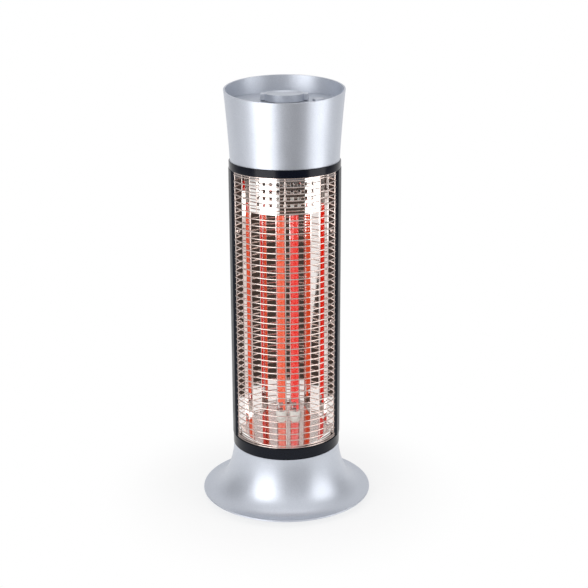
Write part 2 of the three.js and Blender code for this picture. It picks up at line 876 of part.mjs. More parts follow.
function chamberFloor() {
  const face = offsetLine(reflectorFace(), -clearance).slice(1, -1);
  const frontY = face[0][1];
  const edge = Math.acos(-frontY / floorFrontRadius) / deg;
  const outline = [...arc(floorFrontRadius, edge, -edge, roundSegments / 2), ...face];
  const plan = raise(outline, lowerDeckTop, windowTop);
  const plate = common(plan, slopedSlab(sheet, 0));
  const skirtPlan = bentStrip(floorFrontRadius - sheet, floorFrontRadius, -floorSkirtHalfAngle,
    floorSkirtHalfAngle, lowerDeckTop, windowTop, smallSegments);
  const aboveSheet = slopedSlab(windowHeight, windowHeight / Math.cos(floorSlopeAngle * deg));
  const skirt = carve([skirtPlan], [aboveSheet]);
  const holes = tubePlaces.map(({ x }) => (
    post(x, -tubeForward, capRadius + capHoleGap, lowerDeckTop, windowTop)
  ));
  return carve([plate, skirt], holes);
}

piece(column, 'chamber_floor', chamberFloor(), mirrorSteel);

// Carbon tubes, drawn about their own axis: quartz, caps and the wound element inside
function quartzTube() {
  return ring(quartzRadius - quartzWall, quartzRadius, quartzBottom, quartzTop, smallSegments);
}

// A ceramic cap with a socket whose floor is at zero. It is turned over for the upper end.
function tubeCap() {
  const socket = quartzRadius + clearance;
  return lathe([
    [0, -capBody], [capRadius, -capBody], [capRadius, capSocket],
    [socket, capSocket], [socket, 0], [0, 0],
  ], smallSegments);
}

// The middle line of an element: a straight lead, the turns and a straight lead again.
function coilLine() {
  const lead = quartzEnd - coilEndGap;
  const point = (angle, z) => (
    new THREE.Vector3(coilRadius * Math.cos(angle), coilRadius * Math.sin(angle), z)
  );
  const leadPart = (from, angle) => Array.from({ length: coilLeadSteps }, (_, i) => (
    point(angle, from + (lead * i) / coilLeadSteps)
  ));
  const steps = coilTurns * coilSteps;
  const turns = Array.from({ length: steps + 1 }, (_, i) => (
    point((i / coilSteps) * 2 * Math.PI, glowBottom + (glowLength * i) / steps)
  ));
  const end = coilTurns * 2 * Math.PI;
  const topLead = leadPart(glowBottom + glowLength + lead / coilLeadSteps, end);
  return [...leadPart(glowBottom - lead, 0), ...turns, ...topLead];
}

// Least gap between the surfaces of two turns, measured on the points of the line.
function leastGap(line) {
  let least = Infinity;
  for (let i = 0; i < line.length; i += 1) {
    for (let k = i + coilSteps / 2; k < line.length; k += 1) {
      least = Math.min(least, line[i].distanceTo(line[k]));
    }
  }
  return least - 2 * coilWire;
}

// One unbroken tube along a line of points, joined ring by ring and closed at both ends.
function tubeAlong(line, radius, sides) {
  const corners = [];
  line.forEach((place, i) => {
    const before = line[Math.max(i - 1, 0)];
    const after = line[Math.min(i + 1, line.length - 1)];
    const along = after.clone().sub(before).normalize();
    const outward = new THREE.Vector3(place.x, place.y, 0).normalize();
    const across = along.clone().cross(outward).normalize();
    for (let k = 0; k < sides; k += 1) {
      const angle = (k / sides) * 2 * Math.PI;
      const corner = place.clone()
        .addScaledVector(outward, radius * Math.cos(angle))
        .addScaledVector(across, radius * Math.sin(angle));
      corners.push(corner.x, corner.y, corner.z);
    }
  });
  const faces = [];
  for (let i = 0; i < line.length - 1; i += 1) {
    for (let k = 0; k < sides; k += 1) {
      const [a, b] = [i * sides + k, i * sides + ((k + 1) % sides)];
      faces.push(a, b, b + sides, a, b + sides, a + sides);
    }
  }
  const last = (line.length - 1) * sides;
  for (let k = 1; k < sides - 1; k += 1) {
    faces.push(0, k + 1, k, last, last + k, last + k + 1);
  }
  const geometry = new THREE.BufferGeometry();
  geometry.setAttribute('position', new THREE.Float32BufferAttribute(corners, 3));
  geometry.setIndex(faces);
  return geometry;
}

const elementLine = coilLine();
console.log(`least gap between turns of a carbon element: ${leastGap(elementLine).toFixed(2)} mm`);

tubePlaces.forEach(({ side, x }) => {
  const tube = new THREE.Group();
  tube.position.set(x, -tubeForward, 0);
  column.add(tube);
  const element = tubeAlong(elementLine, coilWire, coilSides);
  piece(tube, `quartz_tube_${side}`, quartzTube(), quartzGlass);
  piece(tube, `carbon_element_${side}`, element, glowingCarbon);
  piece(tube, `tube_cap_${side}_lower`, tubeCap(), whiteCeramic, { z: quartzBottom });
  piece(tube, `tube_cap_${side}_upper`, tubeCap(), whiteCeramic, { z: quartzTop, turn: Math.PI });
});

// Brackets between the caps and the decks: a plate on two legs
function capBracket(plateFrom, plateTo, deck) {
  const front = -tubeForward - capPlateDepth / 2;
  const back = capPlateDepth / 2 - tubeForward;
  const left = tubeShift - capPlateHalf;
  const right = tubeShift + capPlateHalf;
  const [legFrom, legTo] = [Math.min(deck, plateFrom), Math.max(deck, plateTo)];
  return carve([
    block([left, front, plateFrom], [right, back, plateTo]),
    block([left, front, legFrom], [left + capPlate, back, legTo]),
    block([right - capPlate, front, legFrom], [right, back, legTo]),
  ]);
}

const lowerBracket = capBracket(lowerCapBottom - capPlate, lowerCapBottom, lowerDeckTop);
const upperBracket = capBracket(upperCapTop, upperCapTop + capPlate, upperDeckBottom);

piece(column, 'lower_cap_bracket', lowerBracket, zincSteel);
piece(column, 'upper_cap_bracket', upperBracket, zincSteel);

// Perforated shield, hung from the upper deck
function topShield() {
  const bottom = windowTop - shieldDrop;
  const facets = shieldHoleColumns + 2;
  const halfSpan = (facets / 2) * (shieldHolePitch / shieldRadius / deg);
  const strip = bentStrip(shieldRadius - shieldThick, shieldRadius, -halfSpan, halfSpan,
    bottom, upperDeckBottom, facets);
  const holes = [];
  for (let row = 0; row < shieldHoleRows; row += 1) {
    for (let file = 0; file < shieldHoleColumns; file += 1) {
      const turn = ((file - (shieldHoleColumns - 1) / 2) * shieldHolePitch) / shieldRadius;
      const z = bottom + shieldFirstRow + row * shieldHolePitch;
      const low = [-shieldHoleWidth / 2, -shieldRadius - overrun, z - shieldHoleHeight / 2];
      const high = [shieldHoleWidth / 2, overrun - shieldRadius, z + shieldHoleHeight / 2];
      holes.push(block(low, high).rotateZ(turn));
    }
  }
  return carve([strip], holes);
}

piece(column, 'top_shield', topShield(), mirrorSteel);

// Front grille: bent cross wires welded between uprights whose ends stand behind the rings' lips.
// It starts as a bent panel, and the windows between the wires are cut out of it.
function grilleLevels() {
  const first = windowBottom + grilleEdge;
  const pitch = (windowHeight - 2 * grilleEdge) / (grilleArcCount - 1);
  const levels = Array.from({ length: grilleArcCount }, (_, i) => first + i * pitch);
  return [first - grilleDoubling, ...levels, windowTop - grilleEdge + grilleDoubling];
}

const grilleHalfWire = grilleWire / 2;
const grilleOuter = grilleRadius + grilleHalfWire;
const wireTurn = grilleHalfWire / grilleRadius / deg;
const uprightTurns = grilleUprightShares.map((share) => share * (grilleHalfAngle - wireTurn));
const grilleBays = uprightTurns.slice(1).map((turn, i) => [uprightTurns[i], turn]);

// The plan of the bent panel has a corner at each upright and ends at the span's two ends.
function grillePlan() {
  const line = (radius) => {
    const corners = grilleBays.flatMap(([from, to]) => (
      arc(radius, from, to, grilleBaySegments).slice(1)
    ));
    const [first, last] = arc(radius, -grilleHalfAngle, grilleHalfAngle, 1);
    return [first, ...corners.slice(0, -1), last];
  };
  return [...line(grilleOuter), ...line(grilleInner).reverse()];
}

// The windows of one row, between two cross wires.
function grilleWindows(lower, upper) {
  return grilleBays.map(([from, to]) => bentStrip(
    grilleInner - overrun, grilleOuter + overrun, from + wireTurn, to - wireTurn,
    lower + grilleHalfWire, upper - grilleHalfWire, grilleBaySegments,
  ));
}

// The ends of the uprights, thinner than the wire, behind the lips of the rings.
function grilleTangs(from, to) {
  return uprightTurns.map((turn) => (
    block([-grilleHalfWire, -grilleInner - grilleTang, from], [grilleHalfWire, -grilleInner, to])
      .rotateZ(turn * deg)
  ));
}

function frontGrille() {
  const levels = grilleLevels();
  const low = levels[0];
  const high = levels[levels.length - 1];
  const panel = raise(grillePlan(), low - grilleHalfWire, high + grilleHalfWire);
  const tangs = [
    ...grilleTangs(windowBottom - lowerLipDepth + clearance, low),
    ...grilleTangs(high, upperLipTop - clearance),
  ];
  const windows = levels.slice(1).flatMap((level, row) => grilleWindows(levels[row], level));
  return carve([panel, ...tangs], windows);
}

piece(column, 'front_grille', frontGrille(), chromeWire);

// Head shell: a flared wall with a ledge for the panel, cut off at a slant
function headRadius(z) {
  const rise = Math.max((z - headBottom) / rimRise, 0);
  return headFootRadius + (headRimRadius - headFootRadius) * rise ** headFlareShare;
}

function headShell() {
  const top = rimCentre + headRimRadius * Math.tan(rimTilt * deg) + overrun;
  const levels = Array.from({ length: headSteps + 1 }, (_, i) => (
    headBottom + ((top - headBottom) * i) / headSteps
  ));
  const ledgeTop = panelBottom;
  const ledgeBottom = ledgeTop - ledgeHeight;
  const inside = (z) => headRadius(z) - headWall;
  const below = levels.filter((z) => z < ledgeBottom);
  const above = levels.filter((z) => z > ledgeTop);
  const outline = [
    ...levels.map((z) => [headRadius(z), z]),
    ...above.reverse().map((z) => [inside(z), z]),
    [inside(ledgeTop), ledgeTop], [inside(ledgeTop) - ledgeWidth, ledgeTop],
    [inside(ledgeTop) - ledgeWidth, ledgeBottom], [inside(ledgeBottom), ledgeBottom],
    ...below.reverse().map((z) => [inside(z), z]),
  ];
  const reach = 2 * headRimRadius;
  const slant = block([-reach, -reach, 0], [reach, reach, reach]).rotateX(rimTilt * deg)
    .translate(0, 0, rimCentre);
  return carve([lathe(outline)], [slant]);
}

piece(column, 'head_shell', headShell(), silverPaint);

// Control panel with the dial's switch and the button's switch under it
function controlPanel() {
  const radius = headRadius(panelBottom) - headWall - clearance;
  const edge = arc(radius, 0, 360 - 360 / roundSegments, roundSegments - 1);
  const holes = [
    roundHole(0, 0, spindleRadius + spindleHoleGap),
    roundHole(buttonX, 0, buttonRadius + clearance),
  ];
  return raise(edge, panelBottom, panelTop, holes);
}

// The dial is drawn from its own underside: a dished disc with two lugs and a bore.
function powerDial() {
  const rimInside = dialRadius - dialRimWidth;
  const dishFloor = dialHeight - dialDish;
  const dishRadius = rimInside - dialDishSlope;
  const lugs = [-1, 1].map((sign) => (
    block([sign * (dialRadius - dialLugSink), -dialLugHalf, 0],
      [sign * dialLugReach, dialLugHalf, dialHeight])
  ));
  const dish = lathe([
    [0, dishFloor], [dishRadius, dishFloor], [rimInside, dialHeight],
    [rimInside, dialHeight + overrun], [0, dialHeight + overrun],
  ]);
  const bore = post(0, 0, spindleRadius + clearance, -overrun, spindleInDial + clearance);
  return carve([ring(0, dialRadius, 0, dialHeight), ...lugs], [dish, bore]);
}

function switchSpindle() {
  return post(0, 0, spindleRadius, panelBottom - spindleInSwitch - dialBottom, spindleInDial);
}

function rotarySwitch() {
  const half = switchSize / 2;
  const body = block([-half, -half, panelBottom - switchHeight], [half, half, panelBottom]);
  const bore = post(0, 0, spindleRadius + clearance, panelBottom - spindleInSwitch - clearance,
    panelBottom + overrun);
  return carve([body], [bore]);
}

function swingButton() {
  const top = panelTop + buttonProud;
  const flangeTop = panelBottom - clearance;
  const flangeBottom = flangeTop - buttonFlangeThick;
  const bottom = panelBottom - buttonBelow;
  return lathe([
    [0, bottom], [buttonRadius, bottom], [buttonRadius, flangeBottom], [buttonFlange, flangeBottom],
    [buttonFlange, flangeTop], [buttonRadius, flangeTop], [buttonRadius, top - buttonCrown],
    [buttonRadius - buttonCrown, top], [0, top],
  ], smallSegments);
}

function buttonSwitch() {
  const half = buttonSwitchSize / 2;
  const wellFloor = panelBottom - buttonBelow - buttonTravel - buttonRestGap;
  const body = block([-half, -half, wellFloor - buttonSwitchFloor], [half, half, panelBottom]);
  const well = post(0, 0, buttonFlange + clearance, wellFloor, panelBottom + overrun);
  return carve([body], [well]);
}

piece(column, 'control_panel', controlPanel(), silverPaint);
piece(dial, 'power_dial', powerDial(), silverPaint);
piece(dial, 'switch_spindle', switchSpindle(), zincSteel);
piece(column, 'rotary_switch', rotarySwitch(), darkPlastic);
piece(button, 'swing_button', swingButton(), silverPaint);
piece(column, 'button_switch', buttonSwitch(), darkPlastic, { x: buttonX });

// Terminal block on the upper deck
const terminalBox = block([-terminalWidth / 2, -terminalDepth, 0],
  [terminalWidth / 2, 0, terminalHeight]);

piece(column, 'terminal_block', terminalBox, whitePlastic, { y: terminalBack, z: upperDeckTop });

export default heater;
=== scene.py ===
"""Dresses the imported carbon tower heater: fine pieces, finishes, studio light and a camera.

Everything is in metres in the part's own frame: +Z is up, the origin lies on the floor on the
column's axis, and the front faces -Y. Each sub-assembly is a class that shapes its pieces,
dresses them and puts them on their bodies.
"""

import logging
import math
from dataclasses import dataclass
from enum import Enum
from typing import Callable, Protocol

import bpy
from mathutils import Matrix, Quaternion, Vector

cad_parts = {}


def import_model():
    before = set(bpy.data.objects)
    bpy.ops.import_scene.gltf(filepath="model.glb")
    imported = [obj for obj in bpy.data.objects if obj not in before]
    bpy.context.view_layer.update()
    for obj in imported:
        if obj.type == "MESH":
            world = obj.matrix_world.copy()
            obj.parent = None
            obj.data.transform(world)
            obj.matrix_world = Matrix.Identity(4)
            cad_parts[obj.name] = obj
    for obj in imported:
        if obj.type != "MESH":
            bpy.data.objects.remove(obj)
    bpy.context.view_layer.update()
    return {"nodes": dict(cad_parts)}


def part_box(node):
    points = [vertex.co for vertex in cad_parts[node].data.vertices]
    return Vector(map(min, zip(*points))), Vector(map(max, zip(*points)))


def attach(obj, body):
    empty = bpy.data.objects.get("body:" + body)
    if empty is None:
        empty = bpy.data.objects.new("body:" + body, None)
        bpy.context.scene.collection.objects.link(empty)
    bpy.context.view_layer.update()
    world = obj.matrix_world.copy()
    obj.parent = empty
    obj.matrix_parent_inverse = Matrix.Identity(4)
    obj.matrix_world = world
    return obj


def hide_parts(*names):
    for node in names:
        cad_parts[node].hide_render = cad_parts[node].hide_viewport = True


log = logging.getLogger("heater")

Colour = tuple[float, float, float]
Pair = tuple[float, float]
Outline = list[Pair]
Profile = tuple[Pair, ...]
Place = tuple[float, float, float]
Piece = bpy.types.Object
Socket = bpy.types.NodeSocket

WHOLE_TURN = 2 * math.pi
QUARTER_TURN = math.pi / 2
MERGE = 1e-6
SEED_SIZE = 0.001
OVERRUN = 0.004
FINE = "_fine"
ORIGIN: Place = (0.0, 0.0, 0.0)
UP: Place = (0.0, 0.0, 1.0)
DOWN: Place = (0.0, 0.0, -1.0)


class Body(Enum):
    """The bodies that pieces ride on."""

    BASE = "base"
    COLUMN = "column"
    DIAL = "dial"
    BUTTON = "button"


class Segments(Enum):
    """How finely round shapes are divided."""

    LARGE = 128
    MIDDLE = 64
    SMALL = 40
    HOLE = 32
    SCREW = 24
    VENT = 16
    WIRE = 8


class Rounding(Enum):
    """Widths of rounded edges."""

    HAIR = 0.0002
    SLIGHT = 0.0003
    SMALL = 0.0004
    RING = 0.0005
    SHELL = 0.0006
    RIM = 0.0007


# ----------------------------------------------------------------------------
# Modelling bench
# ----------------------------------------------------------------------------


def deselect() -> None:
    """Leaves nothing selected and nothing active."""
    bpy.ops.object.select_all(action="DESELECT")
    bpy.context.view_layer.objects.active = None


def activate(made: Piece) -> None:
    """Makes one object the only selected and active one."""
    deselect()
    made.select_set(True)
    bpy.context.view_layer.objects.active = made


def named(name: str) -> Piece:
    """Names the active object and its mesh, and returns it."""
    made = bpy.context.object
    made.name = name
    made.data.name = name
    return made


def start_edit(made: Piece) -> None:
    """Opens an object in edit mode with all of it selected."""
    activate(made)
    bpy.ops.object.mode_set(mode="EDIT")
    bpy.ops.mesh.select_all(action="SELECT")


def leave_edit() -> None:
    """Goes back to object mode."""
    bpy.ops.object.mode_set(mode="OBJECT")


def settle(made: Piece) -> Piece:
    """Moves an object's place, turn and scale into its mesh, and returns it."""
    activate(made)
    bpy.ops.object.transform_apply(location=True, rotation=True, scale=True)
    return made


def trace(name: str, points: list[Place]) -> Piece:
    """Draws a line of edges by extruding one corner after another.

    Args:
        name: Name of the new object.
        points: Corners of the line.

    Returns:
        The new object, open in edit mode.
    """
    deselect()
    bpy.ops.mesh.primitive_plane_add(size=SEED_SIZE)
    made = named(name)
    bpy.ops.object.mode_set(mode="EDIT")
    bpy.ops.mesh.select_mode(type="VERT")
    bpy.ops.mesh.select_all(action="SELECT")
    bpy.ops.mesh.merge(type="CENTER")
    bpy.ops.transform.translate(value=points[0])
    for before, after in zip(points, points[1:]):
        step = Vector(after) - Vector(before)
        bpy.ops.mesh.extrude_region_move(TRANSFORM_OT_translate={"value": step})
    return made


def clean(outward: bool = True) -> None:
    """Merges the doubles of the mesh in edit mode.

    Args:
        outward: Whether its faces are then turned outwards.
    """
    bpy.ops.mesh.select_all(action="SELECT")
    bpy.ops.mesh.remove_doubles(threshold=MERGE)
    if outward:
        bpy.ops.mesh.normals_make_consistent(inside=False)


def lathe(name: str, outline: Outline, steps: Segments, centre: Pair = (0.0, 0.0)) -> Piece:
    """Spins an outline about an upright axis.

    Args:
        name: Name of the new object.
        outline: Corners as radius and height. One that starts on the axis ends there too.
        steps: How finely the whole turn is divided.
        centre: Place of the axis in the plan.

    Returns:
        The closed body.
    """
    x, y = centre
    points = [(x + radius, y, height) for radius, height in outline]
    if outline[0][0] > 0:
        points.append(points[0])
    made = trace(name, points)
    bpy.ops.mesh.select_all(action="SELECT")
    bpy.ops.mesh.spin(steps=steps.value, angle=WHOLE_TURN, center=(x, y, 0), axis=UP)
    clean()
    leave_edit()
    return made


def raise_line(levels: list[float]) -> None:
    """Extrudes the traced line of the mesh in edit mode up through a list of levels.

    Args:
        levels: Heights, from the line's own height up.
    """
    bpy.ops.mesh.select_mode(type="EDGE")
    bpy.ops.mesh.select_all(action="SELECT")
    for before, after in zip(levels, levels[1:]):
        bpy.ops.mesh.extrude_region_move(TRANSFORM_OT_translate={"value": (0, 0, after - before)})


def raise_area(name: str, outline: Outline, bottom: float, top: float) -> Piece:
    """Fills a plan outline and extrudes it up into a solid.

    Args:
        name: Name of the new object.
        outline: Corners of the plan, in order.
        bottom: Lower height.
        top: Upper height.

    Returns:
        The solid.
    """
    corners = [(x, y, bottom) for x, y in outline]
    made = trace(name, [*corners, corners[0]])
    clean(outward=False)
    bpy.ops.mesh.edge_face_add()
    bpy.ops.mesh.extrude_region_move(TRANSFORM_OT_translate={"value": (0, 0, top - bottom)})
    clean()
    leave_edit()
    return made


def pick_faces(made: Piece, wanted: Callable[[Vector, Vector], bool]) -> None:
    """Selects faces of the edited mesh by place or normal.

    Args:
        made: Object that is open in edit mode.
        wanted: Says from a face's centre and normal whether it is selected.
    """
    bpy.ops.mesh.select_mode(type="FACE")
    bpy.ops.mesh.select_all(action="DESELECT")
    bpy.ops.object.mode_set(mode="OBJECT")
    for face in made.data.polygons:
        face.select = wanted(face.center, face.normal)
    bpy.ops.object.mode_set(mode="EDIT")


def use_modifier(made: Piece, kind: str, **settings: object) -> None:
    """Adds a modifier, sets it and applies it.

    Args:
        made: Object that is changed.
        kind: The modifier's type.
        **settings: Values of its settings.
    """
    activate(made)
    modifier = made.modifiers.new(kind.title(), kind)
    for key, value in settings.items():
        setattr(modifier, key, value)
    bpy.ops.object.modifier_apply(modifier=modifier.name)


def soften(made: Piece, rounding: Rounding, segments: int = 2, angle: float = 0.6) -> None:
    """Rounds the sharp edges of an object and shades it smoothly.

    Args:
        made: Object that is changed.
        rounding: Width of the rounding.
        segments: Faces across the rounding.
        angle: Least angle of an edge that is rounded, in radians.
    """
    bevel(made, rounding.value, segments, angle)
    shade(made)


def bevel(made: Piece, width: float, segments: int, angle: float) -> None:
    """Rounds the edges of an object that are sharper than an angle.

    Args:
        made: Object that is changed.
        width: Width of the rounding.
        segments: Faces across the rounding.
        angle: Least angle of an edge that is rounded, in radians.
    """
    use_modifier(
        made, "BEVEL", width=width, segments=segments, limit_method="ANGLE", angle_limit=angle
    )


def shade(made: Piece, angle: float = 0.7) -> None:
    """Shades an object smoothly, except over edges that are sharper than an angle."""
    activate(made)
    bpy.ops.object.shade_smooth_by_angle(angle=angle)
    use_modifier(made, "WEIGHTED_NORMAL", keep_sharp=True)


def block(name: str, low: Place, high: Place) -> Piece:
    """Makes a box between two corners, to be cut or rounded further.

    Args:
        name: Name of the new object.
        low: Lowest corner.
        high: Highest corner.

    Returns:
        The box.
    """
    deselect()
    middle = (Vector(low) + Vector(high)) / 2
    bpy.ops.mesh.primitive_cube_add(size=1, location=middle, scale=Vector(high) - Vector(low))
    return settle(named(name))


def rod(name: str, radius: float, start: Place, end: Place, sides: Segments) -> Piece:
    """Makes a round bar between two points, to be cut or rounded further.

    Args:
        name: Name of the new object.
        radius: Radius of the bar.
        start: Middle of one end.
        end: Middle of the other end.
        sides: How finely its round is divided.

    Returns:
        The bar.
    """
    deselect()
    along = Vector(end) - Vector(start)
    bpy.ops.mesh.primitive_cylinder_add(
        vertices=sides.value,
        radius=radius,
        depth=along.length,
        location=(Vector(start) + Vector(end)) / 2,
        rotation=along.to_track_quat("Z", "Y").to_euler(),
    )
    return settle(named(name))


def copy_of(made: Piece, name: str, shift: Place, turn: Place = ORIGIN) -> Piece:
    """Copies a piece with its own mesh.

    Args:
        made: Piece that is copied.
        name: Name of the copy.
        shift: How far the copy is moved after it is turned about the origin.
        turn: Turns about the three axes, in radians.

    Returns:
        The copy, with its place in its mesh.
    """
    activate(made)
    bpy.ops.object.duplicate(linked=False)
    copy = named(name)
    copy.rotation_euler = turn
    copy.location = shift
    return settle(copy)


def drop(made: Piece) -> None:
    """Removes a helper object."""
    bpy.data.objects.remove(made, do_unlink=True)


def join(pieces: list[Piece]) -> Piece:
    """Joins objects into the first one, and returns it."""
    activate(pieces[0])
    for piece in pieces:
        piece.select_set(True)
    if len(pieces) > 1:
        bpy.ops.object.join()
    return pieces[0]


def combine(made: Piece, other: Piece, operation: str) -> None:
    """Cuts or joins a helper object by an exact boolean operation, and removes it.

    Args:
        made: Piece that is changed.
        other: Closed helper object.
        operation: DIFFERENCE or UNION.
    """
    use_modifier(made, "BOOLEAN", operation=operation, solver="EXACT", object=other)
    drop(other)


def cut(made: Piece, cutters: list[Piece]) -> None:
    """Cuts helper objects, which don't touch each other, out of a piece."""
    combine(made, join(cutters), "DIFFERENCE")


def weld(made: Piece, others: list[Piece]) -> None:
    """Joins helper objects into a piece as one solid."""
    for other in others:
        combine(made, other, "UNION")


def cut_off(made: Piece, start: Vector, upward: Vector) -> None:
    """Cuts a solid at a plane and drops what lies above it.

    Args:
        made: Solid that is cut.
        start: Point of the plane.
        upward: The plane's normal.
    """
    start_edit(made)
    bpy.ops.mesh.bisect(plane_co=start, plane_no=upward, clear_outer=True, use_fill=True)
    clean()
    leave_edit()


def middle_of(node: str) -> Vector:
    """Gives the middle of the box of one of the part's nodes."""
    low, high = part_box(node)
    return (low + high) / 2


def corners_at(profile: Profile, radius: float, top: float) -> Outline:
    """Gives the corners of a profile that is drawn inwards and down from an edge.

    Args:
        profile: Distances inwards of the edge and below it.
        radius: Radius of the edge.
        top: Height of the edge.

    Returns:
        The corners as radius and height.
    """
    return [(radius - inward, top - below) for inward, below in profile]


def arc(radius: float, start: float, end: float, steps: int) -> Outline:
    """Gives points of an arc in the plan.

    Args:
        radius: Radius of the arc about the column's axis.
        start: First angle in radians from the front, positive to the right.
        end: Last angle.
        steps: Number of steps between them.

    Returns:
        The points, from the first angle to the last.
    """
    angles = [start + (end - start) * step / steps for step in range(steps + 1)]
    return [(radius * math.sin(angle), -radius * math.cos(angle)) for angle in angles]


def moved_line(points: Outline, distance: float) -> Outline:
    """Moves a line sideways and keeps its corners sharp.

    Args:
        points: Corners of the line.
        distance: How far it moves to its left.

    Returns:
        The corners of the moved line.
    """
    normals = []
    for (x0, y0), (x1, y1) in zip(points, points[1:]):
        length = math.hypot(x1 - x0, y1 - y0)
        normals.append(Vector(((y0 - y1) / length, (x1 - x0) / length)))
    moved = []
    for index, (x, y) in enumerate(points):
        before = normals[max(index - 1, 0)]
        after = normals[min(index, len(normals) - 1)]
        mitre = (before + after).normalized()
        reach = distance / mitre.dot(after)
        moved.append((x + mitre.x * reach, y + mitre.y * reach))
    return moved


# ----------------------------------------------------------------------------
# Finishes
# ----------------------------------------------------------------------------


class Wiring:
    """Nodes that are added one by one and wired by the names of their sockets."""

    def __init__(self, tree: bpy.types.NodeTree) -> None:
        """Empties a node tree and takes it over."""
        self.tree = tree
        tree.nodes.clear()

    def node(
        self, kind: str, settings: dict | None = None, inputs: dict | None = None
    ) -> bpy.types.Node:
        """Adds a node.

        Args:
            kind: Type of the node.
            settings: Values of its settings.
            inputs: Values or sockets for its inputs, by name or number.

        Returns:
            The node.
        """
        made = self.tree.nodes.new(kind)
        for key, value in (settings or {}).items():
            setattr(made, key, value)
        for key, value in (inputs or {}).items():
            if isinstance(value, Socket):
                self.tree.links.new(value, made.inputs[key])
            else:
                made.inputs[key].default_value = value
        return made

    def combined(self, operation: str, first: Socket, second: Socket) -> Socket:
        """Gives what a mathematical operation makes of two values."""
        inputs = {0: first, 1: second}
        return self.node("ShaderNodeMath", {"operation": operation}, inputs).outputs["Value"]

    def clear_ray(self) -> Socket:
        """Gives one for rays from the camera, bright metal and glass, and nought for the rest."""
        rays = self.node("ShaderNodeLightPath")
        factor = rays.outputs["Is Camera Ray"]
        for kind in ("Is Glossy Ray", "Is Transmission Ray"):
            factor = self.combined("MAXIMUM", factor, rays.outputs[kind])
        return factor


class Recipe(Wiring):
    """A material that reads object coordinates."""

    def __init__(self, name: str) -> None:
        """Starts an empty material of the given name."""
        self.material = bpy.data.materials.new(name + FINE)
        self.material.use_nodes = True
        super().__init__(self.material.node_tree)
        self.place = self.node("ShaderNodeTexCoord").outputs["Object"]

    def stretched(self, scale: Place) -> Socket:
        """Gives object coordinates that are scaled along each axis."""
        mapping = self.node("ShaderNodeMapping", inputs={"Vector": self.place, "Scale": scale})
        return mapping.outputs["Vector"]

    def noise(self, scale: float, detail: float, place: Socket | None = None) -> Socket:
        """Gives a noise pattern.

        Args:
            scale: Number of waves in a metre.
            detail: Number of finer layers.
            place: Coordinates, if not the object's own.

        Returns:
            The pattern's factor.
        """
        inputs = {"Vector": place or self.place, "Scale": scale, "Detail": detail}
        return self.node("ShaderNodeTexNoise", inputs=inputs).outputs["Fac"]

    def cells(self, scale: float, place: Socket | None = None) -> Socket:
        """Gives a pattern of cells, each with a brightness of its own.

        Args:
            scale: Number of cells in a metre.
            place: Coordinates, if not the object's own.

        Returns:
            The cell's brightness.
        """
        inputs = {"Vector": place or self.place, "Scale": scale}
        voronoi = self.node("ShaderNodeTexVoronoi", inputs=inputs)
        grey = self.node("ShaderNodeSeparateColor", inputs={"Color": voronoi.outputs["Color"]})
        return grey.outputs[0]

    def span(self, factor: Socket, low: float, high: float) -> Socket:
        """Maps a factor to a range of values.

        Args:
            factor: Pattern between about 0.3 and 0.7.
            low: Value at its lower end.
            high: Value at its upper end.

        Returns:
            The mapped value.
        """
        inputs = {"Value": factor, "From Min": 0.3, "From Max": 0.7, "To Min": low, "To Max": high}
        return self.node("ShaderNodeMapRange", inputs=inputs).outputs["Result"]

    def ramp(
        self, factor: Socket, low: Colour, high: Colour, start: float = 0.3, end: float = 0.7
    ) -> Socket:
        """Maps a factor to colours.

        Args:
            factor: Pattern that chooses the colour.
            low: Colour at the start.
            high: Colour at the end.
            start: Factor with the first colour.
            end: Factor with the second colour.

        Returns:
            The colour.
        """
        made = self.node("ShaderNodeValToRGB", inputs={"Fac": factor})
        stops = made.color_ramp.elements
        stops[0].position, stops[1].position = start, end
        stops[0].color, stops[1].color = (*low, 1.0), (*high, 1.0)
        return made.outputs["Color"]

    def bump(self, height: Socket, strength: float, distance: float) -> Socket:
        """Gives normals of a rough surface.

        Args:
            height: Pattern of the height.
            strength: Share of the effect.
            distance: Height of the pattern.

        Returns:
            The normal.
        """
        inputs = {"Height": height, "Strength": strength, "Distance": distance}
        return self.node("ShaderNodeBump", inputs=inputs).outputs["Normal"]

    def surface(self, inputs: dict) -> bpy.types.Material:
        """Ends the material with its shader.

        Args:
            inputs: Values or sockets for the shader's inputs.

        Returns:
            The finished material.
        """
        shader = self.node("ShaderNodeBsdfPrincipled", inputs=inputs)
        self.end(shader.outputs["BSDF"])
        return self.material

    def end(self, shader: Socket) -> None:
        """Wires a shader to the material's output."""
        self.node("ShaderNodeOutputMaterial", inputs={"Surface": shader})


class Finish(Protocol):
    """What every finish offers."""

    name: str

    def make(self) -> bpy.types.Material:
        """Makes the material."""


def material_of(finish: Finish) -> bpy.types.Material:
    """Gives a finish's material, which is made once."""
    return bpy.data.materials.get(finish.name + FINE) or finish.make()


@dataclass(frozen=True)
class SilverLacquer:
    """Metallic lacquer: fine bright flakes under a clear coat."""

    name: str = "silver_lacquer"
    dark: Colour = (0.50, 0.53, 0.59)
    light: Colour = (0.62, 0.65, 0.71)
    flakes: float = 2600.0
    metallic: float = 0.75
    roughness: Pair = (0.38, 0.43)
    clouds: float = 38.0
    grain: float = 1400.0
    grain_depth: float = 0.00004
    grain_share: float = 0.12
    coat: float = 0.05
    coat_roughness: float = 0.3

    def make(self) -> bpy.types.Material:
        """Makes the material."""
        recipe = Recipe(self.name)
        flakes, grain = recipe.cells(self.flakes), recipe.noise(self.grain, 2.0)
        return recipe.surface({
            "Base Color": recipe.ramp(flakes, self.dark, self.light, 0.0, 1.0),
            "Metallic": self.metallic,
            "Roughness": recipe.span(recipe.noise(self.clouds, 3.0), *self.roughness),
            "Coat Weight": self.coat,
            "Coat Roughness": self.coat_roughness,
            "Normal": recipe.bump(grain, self.grain_share, self.grain_depth),
        })


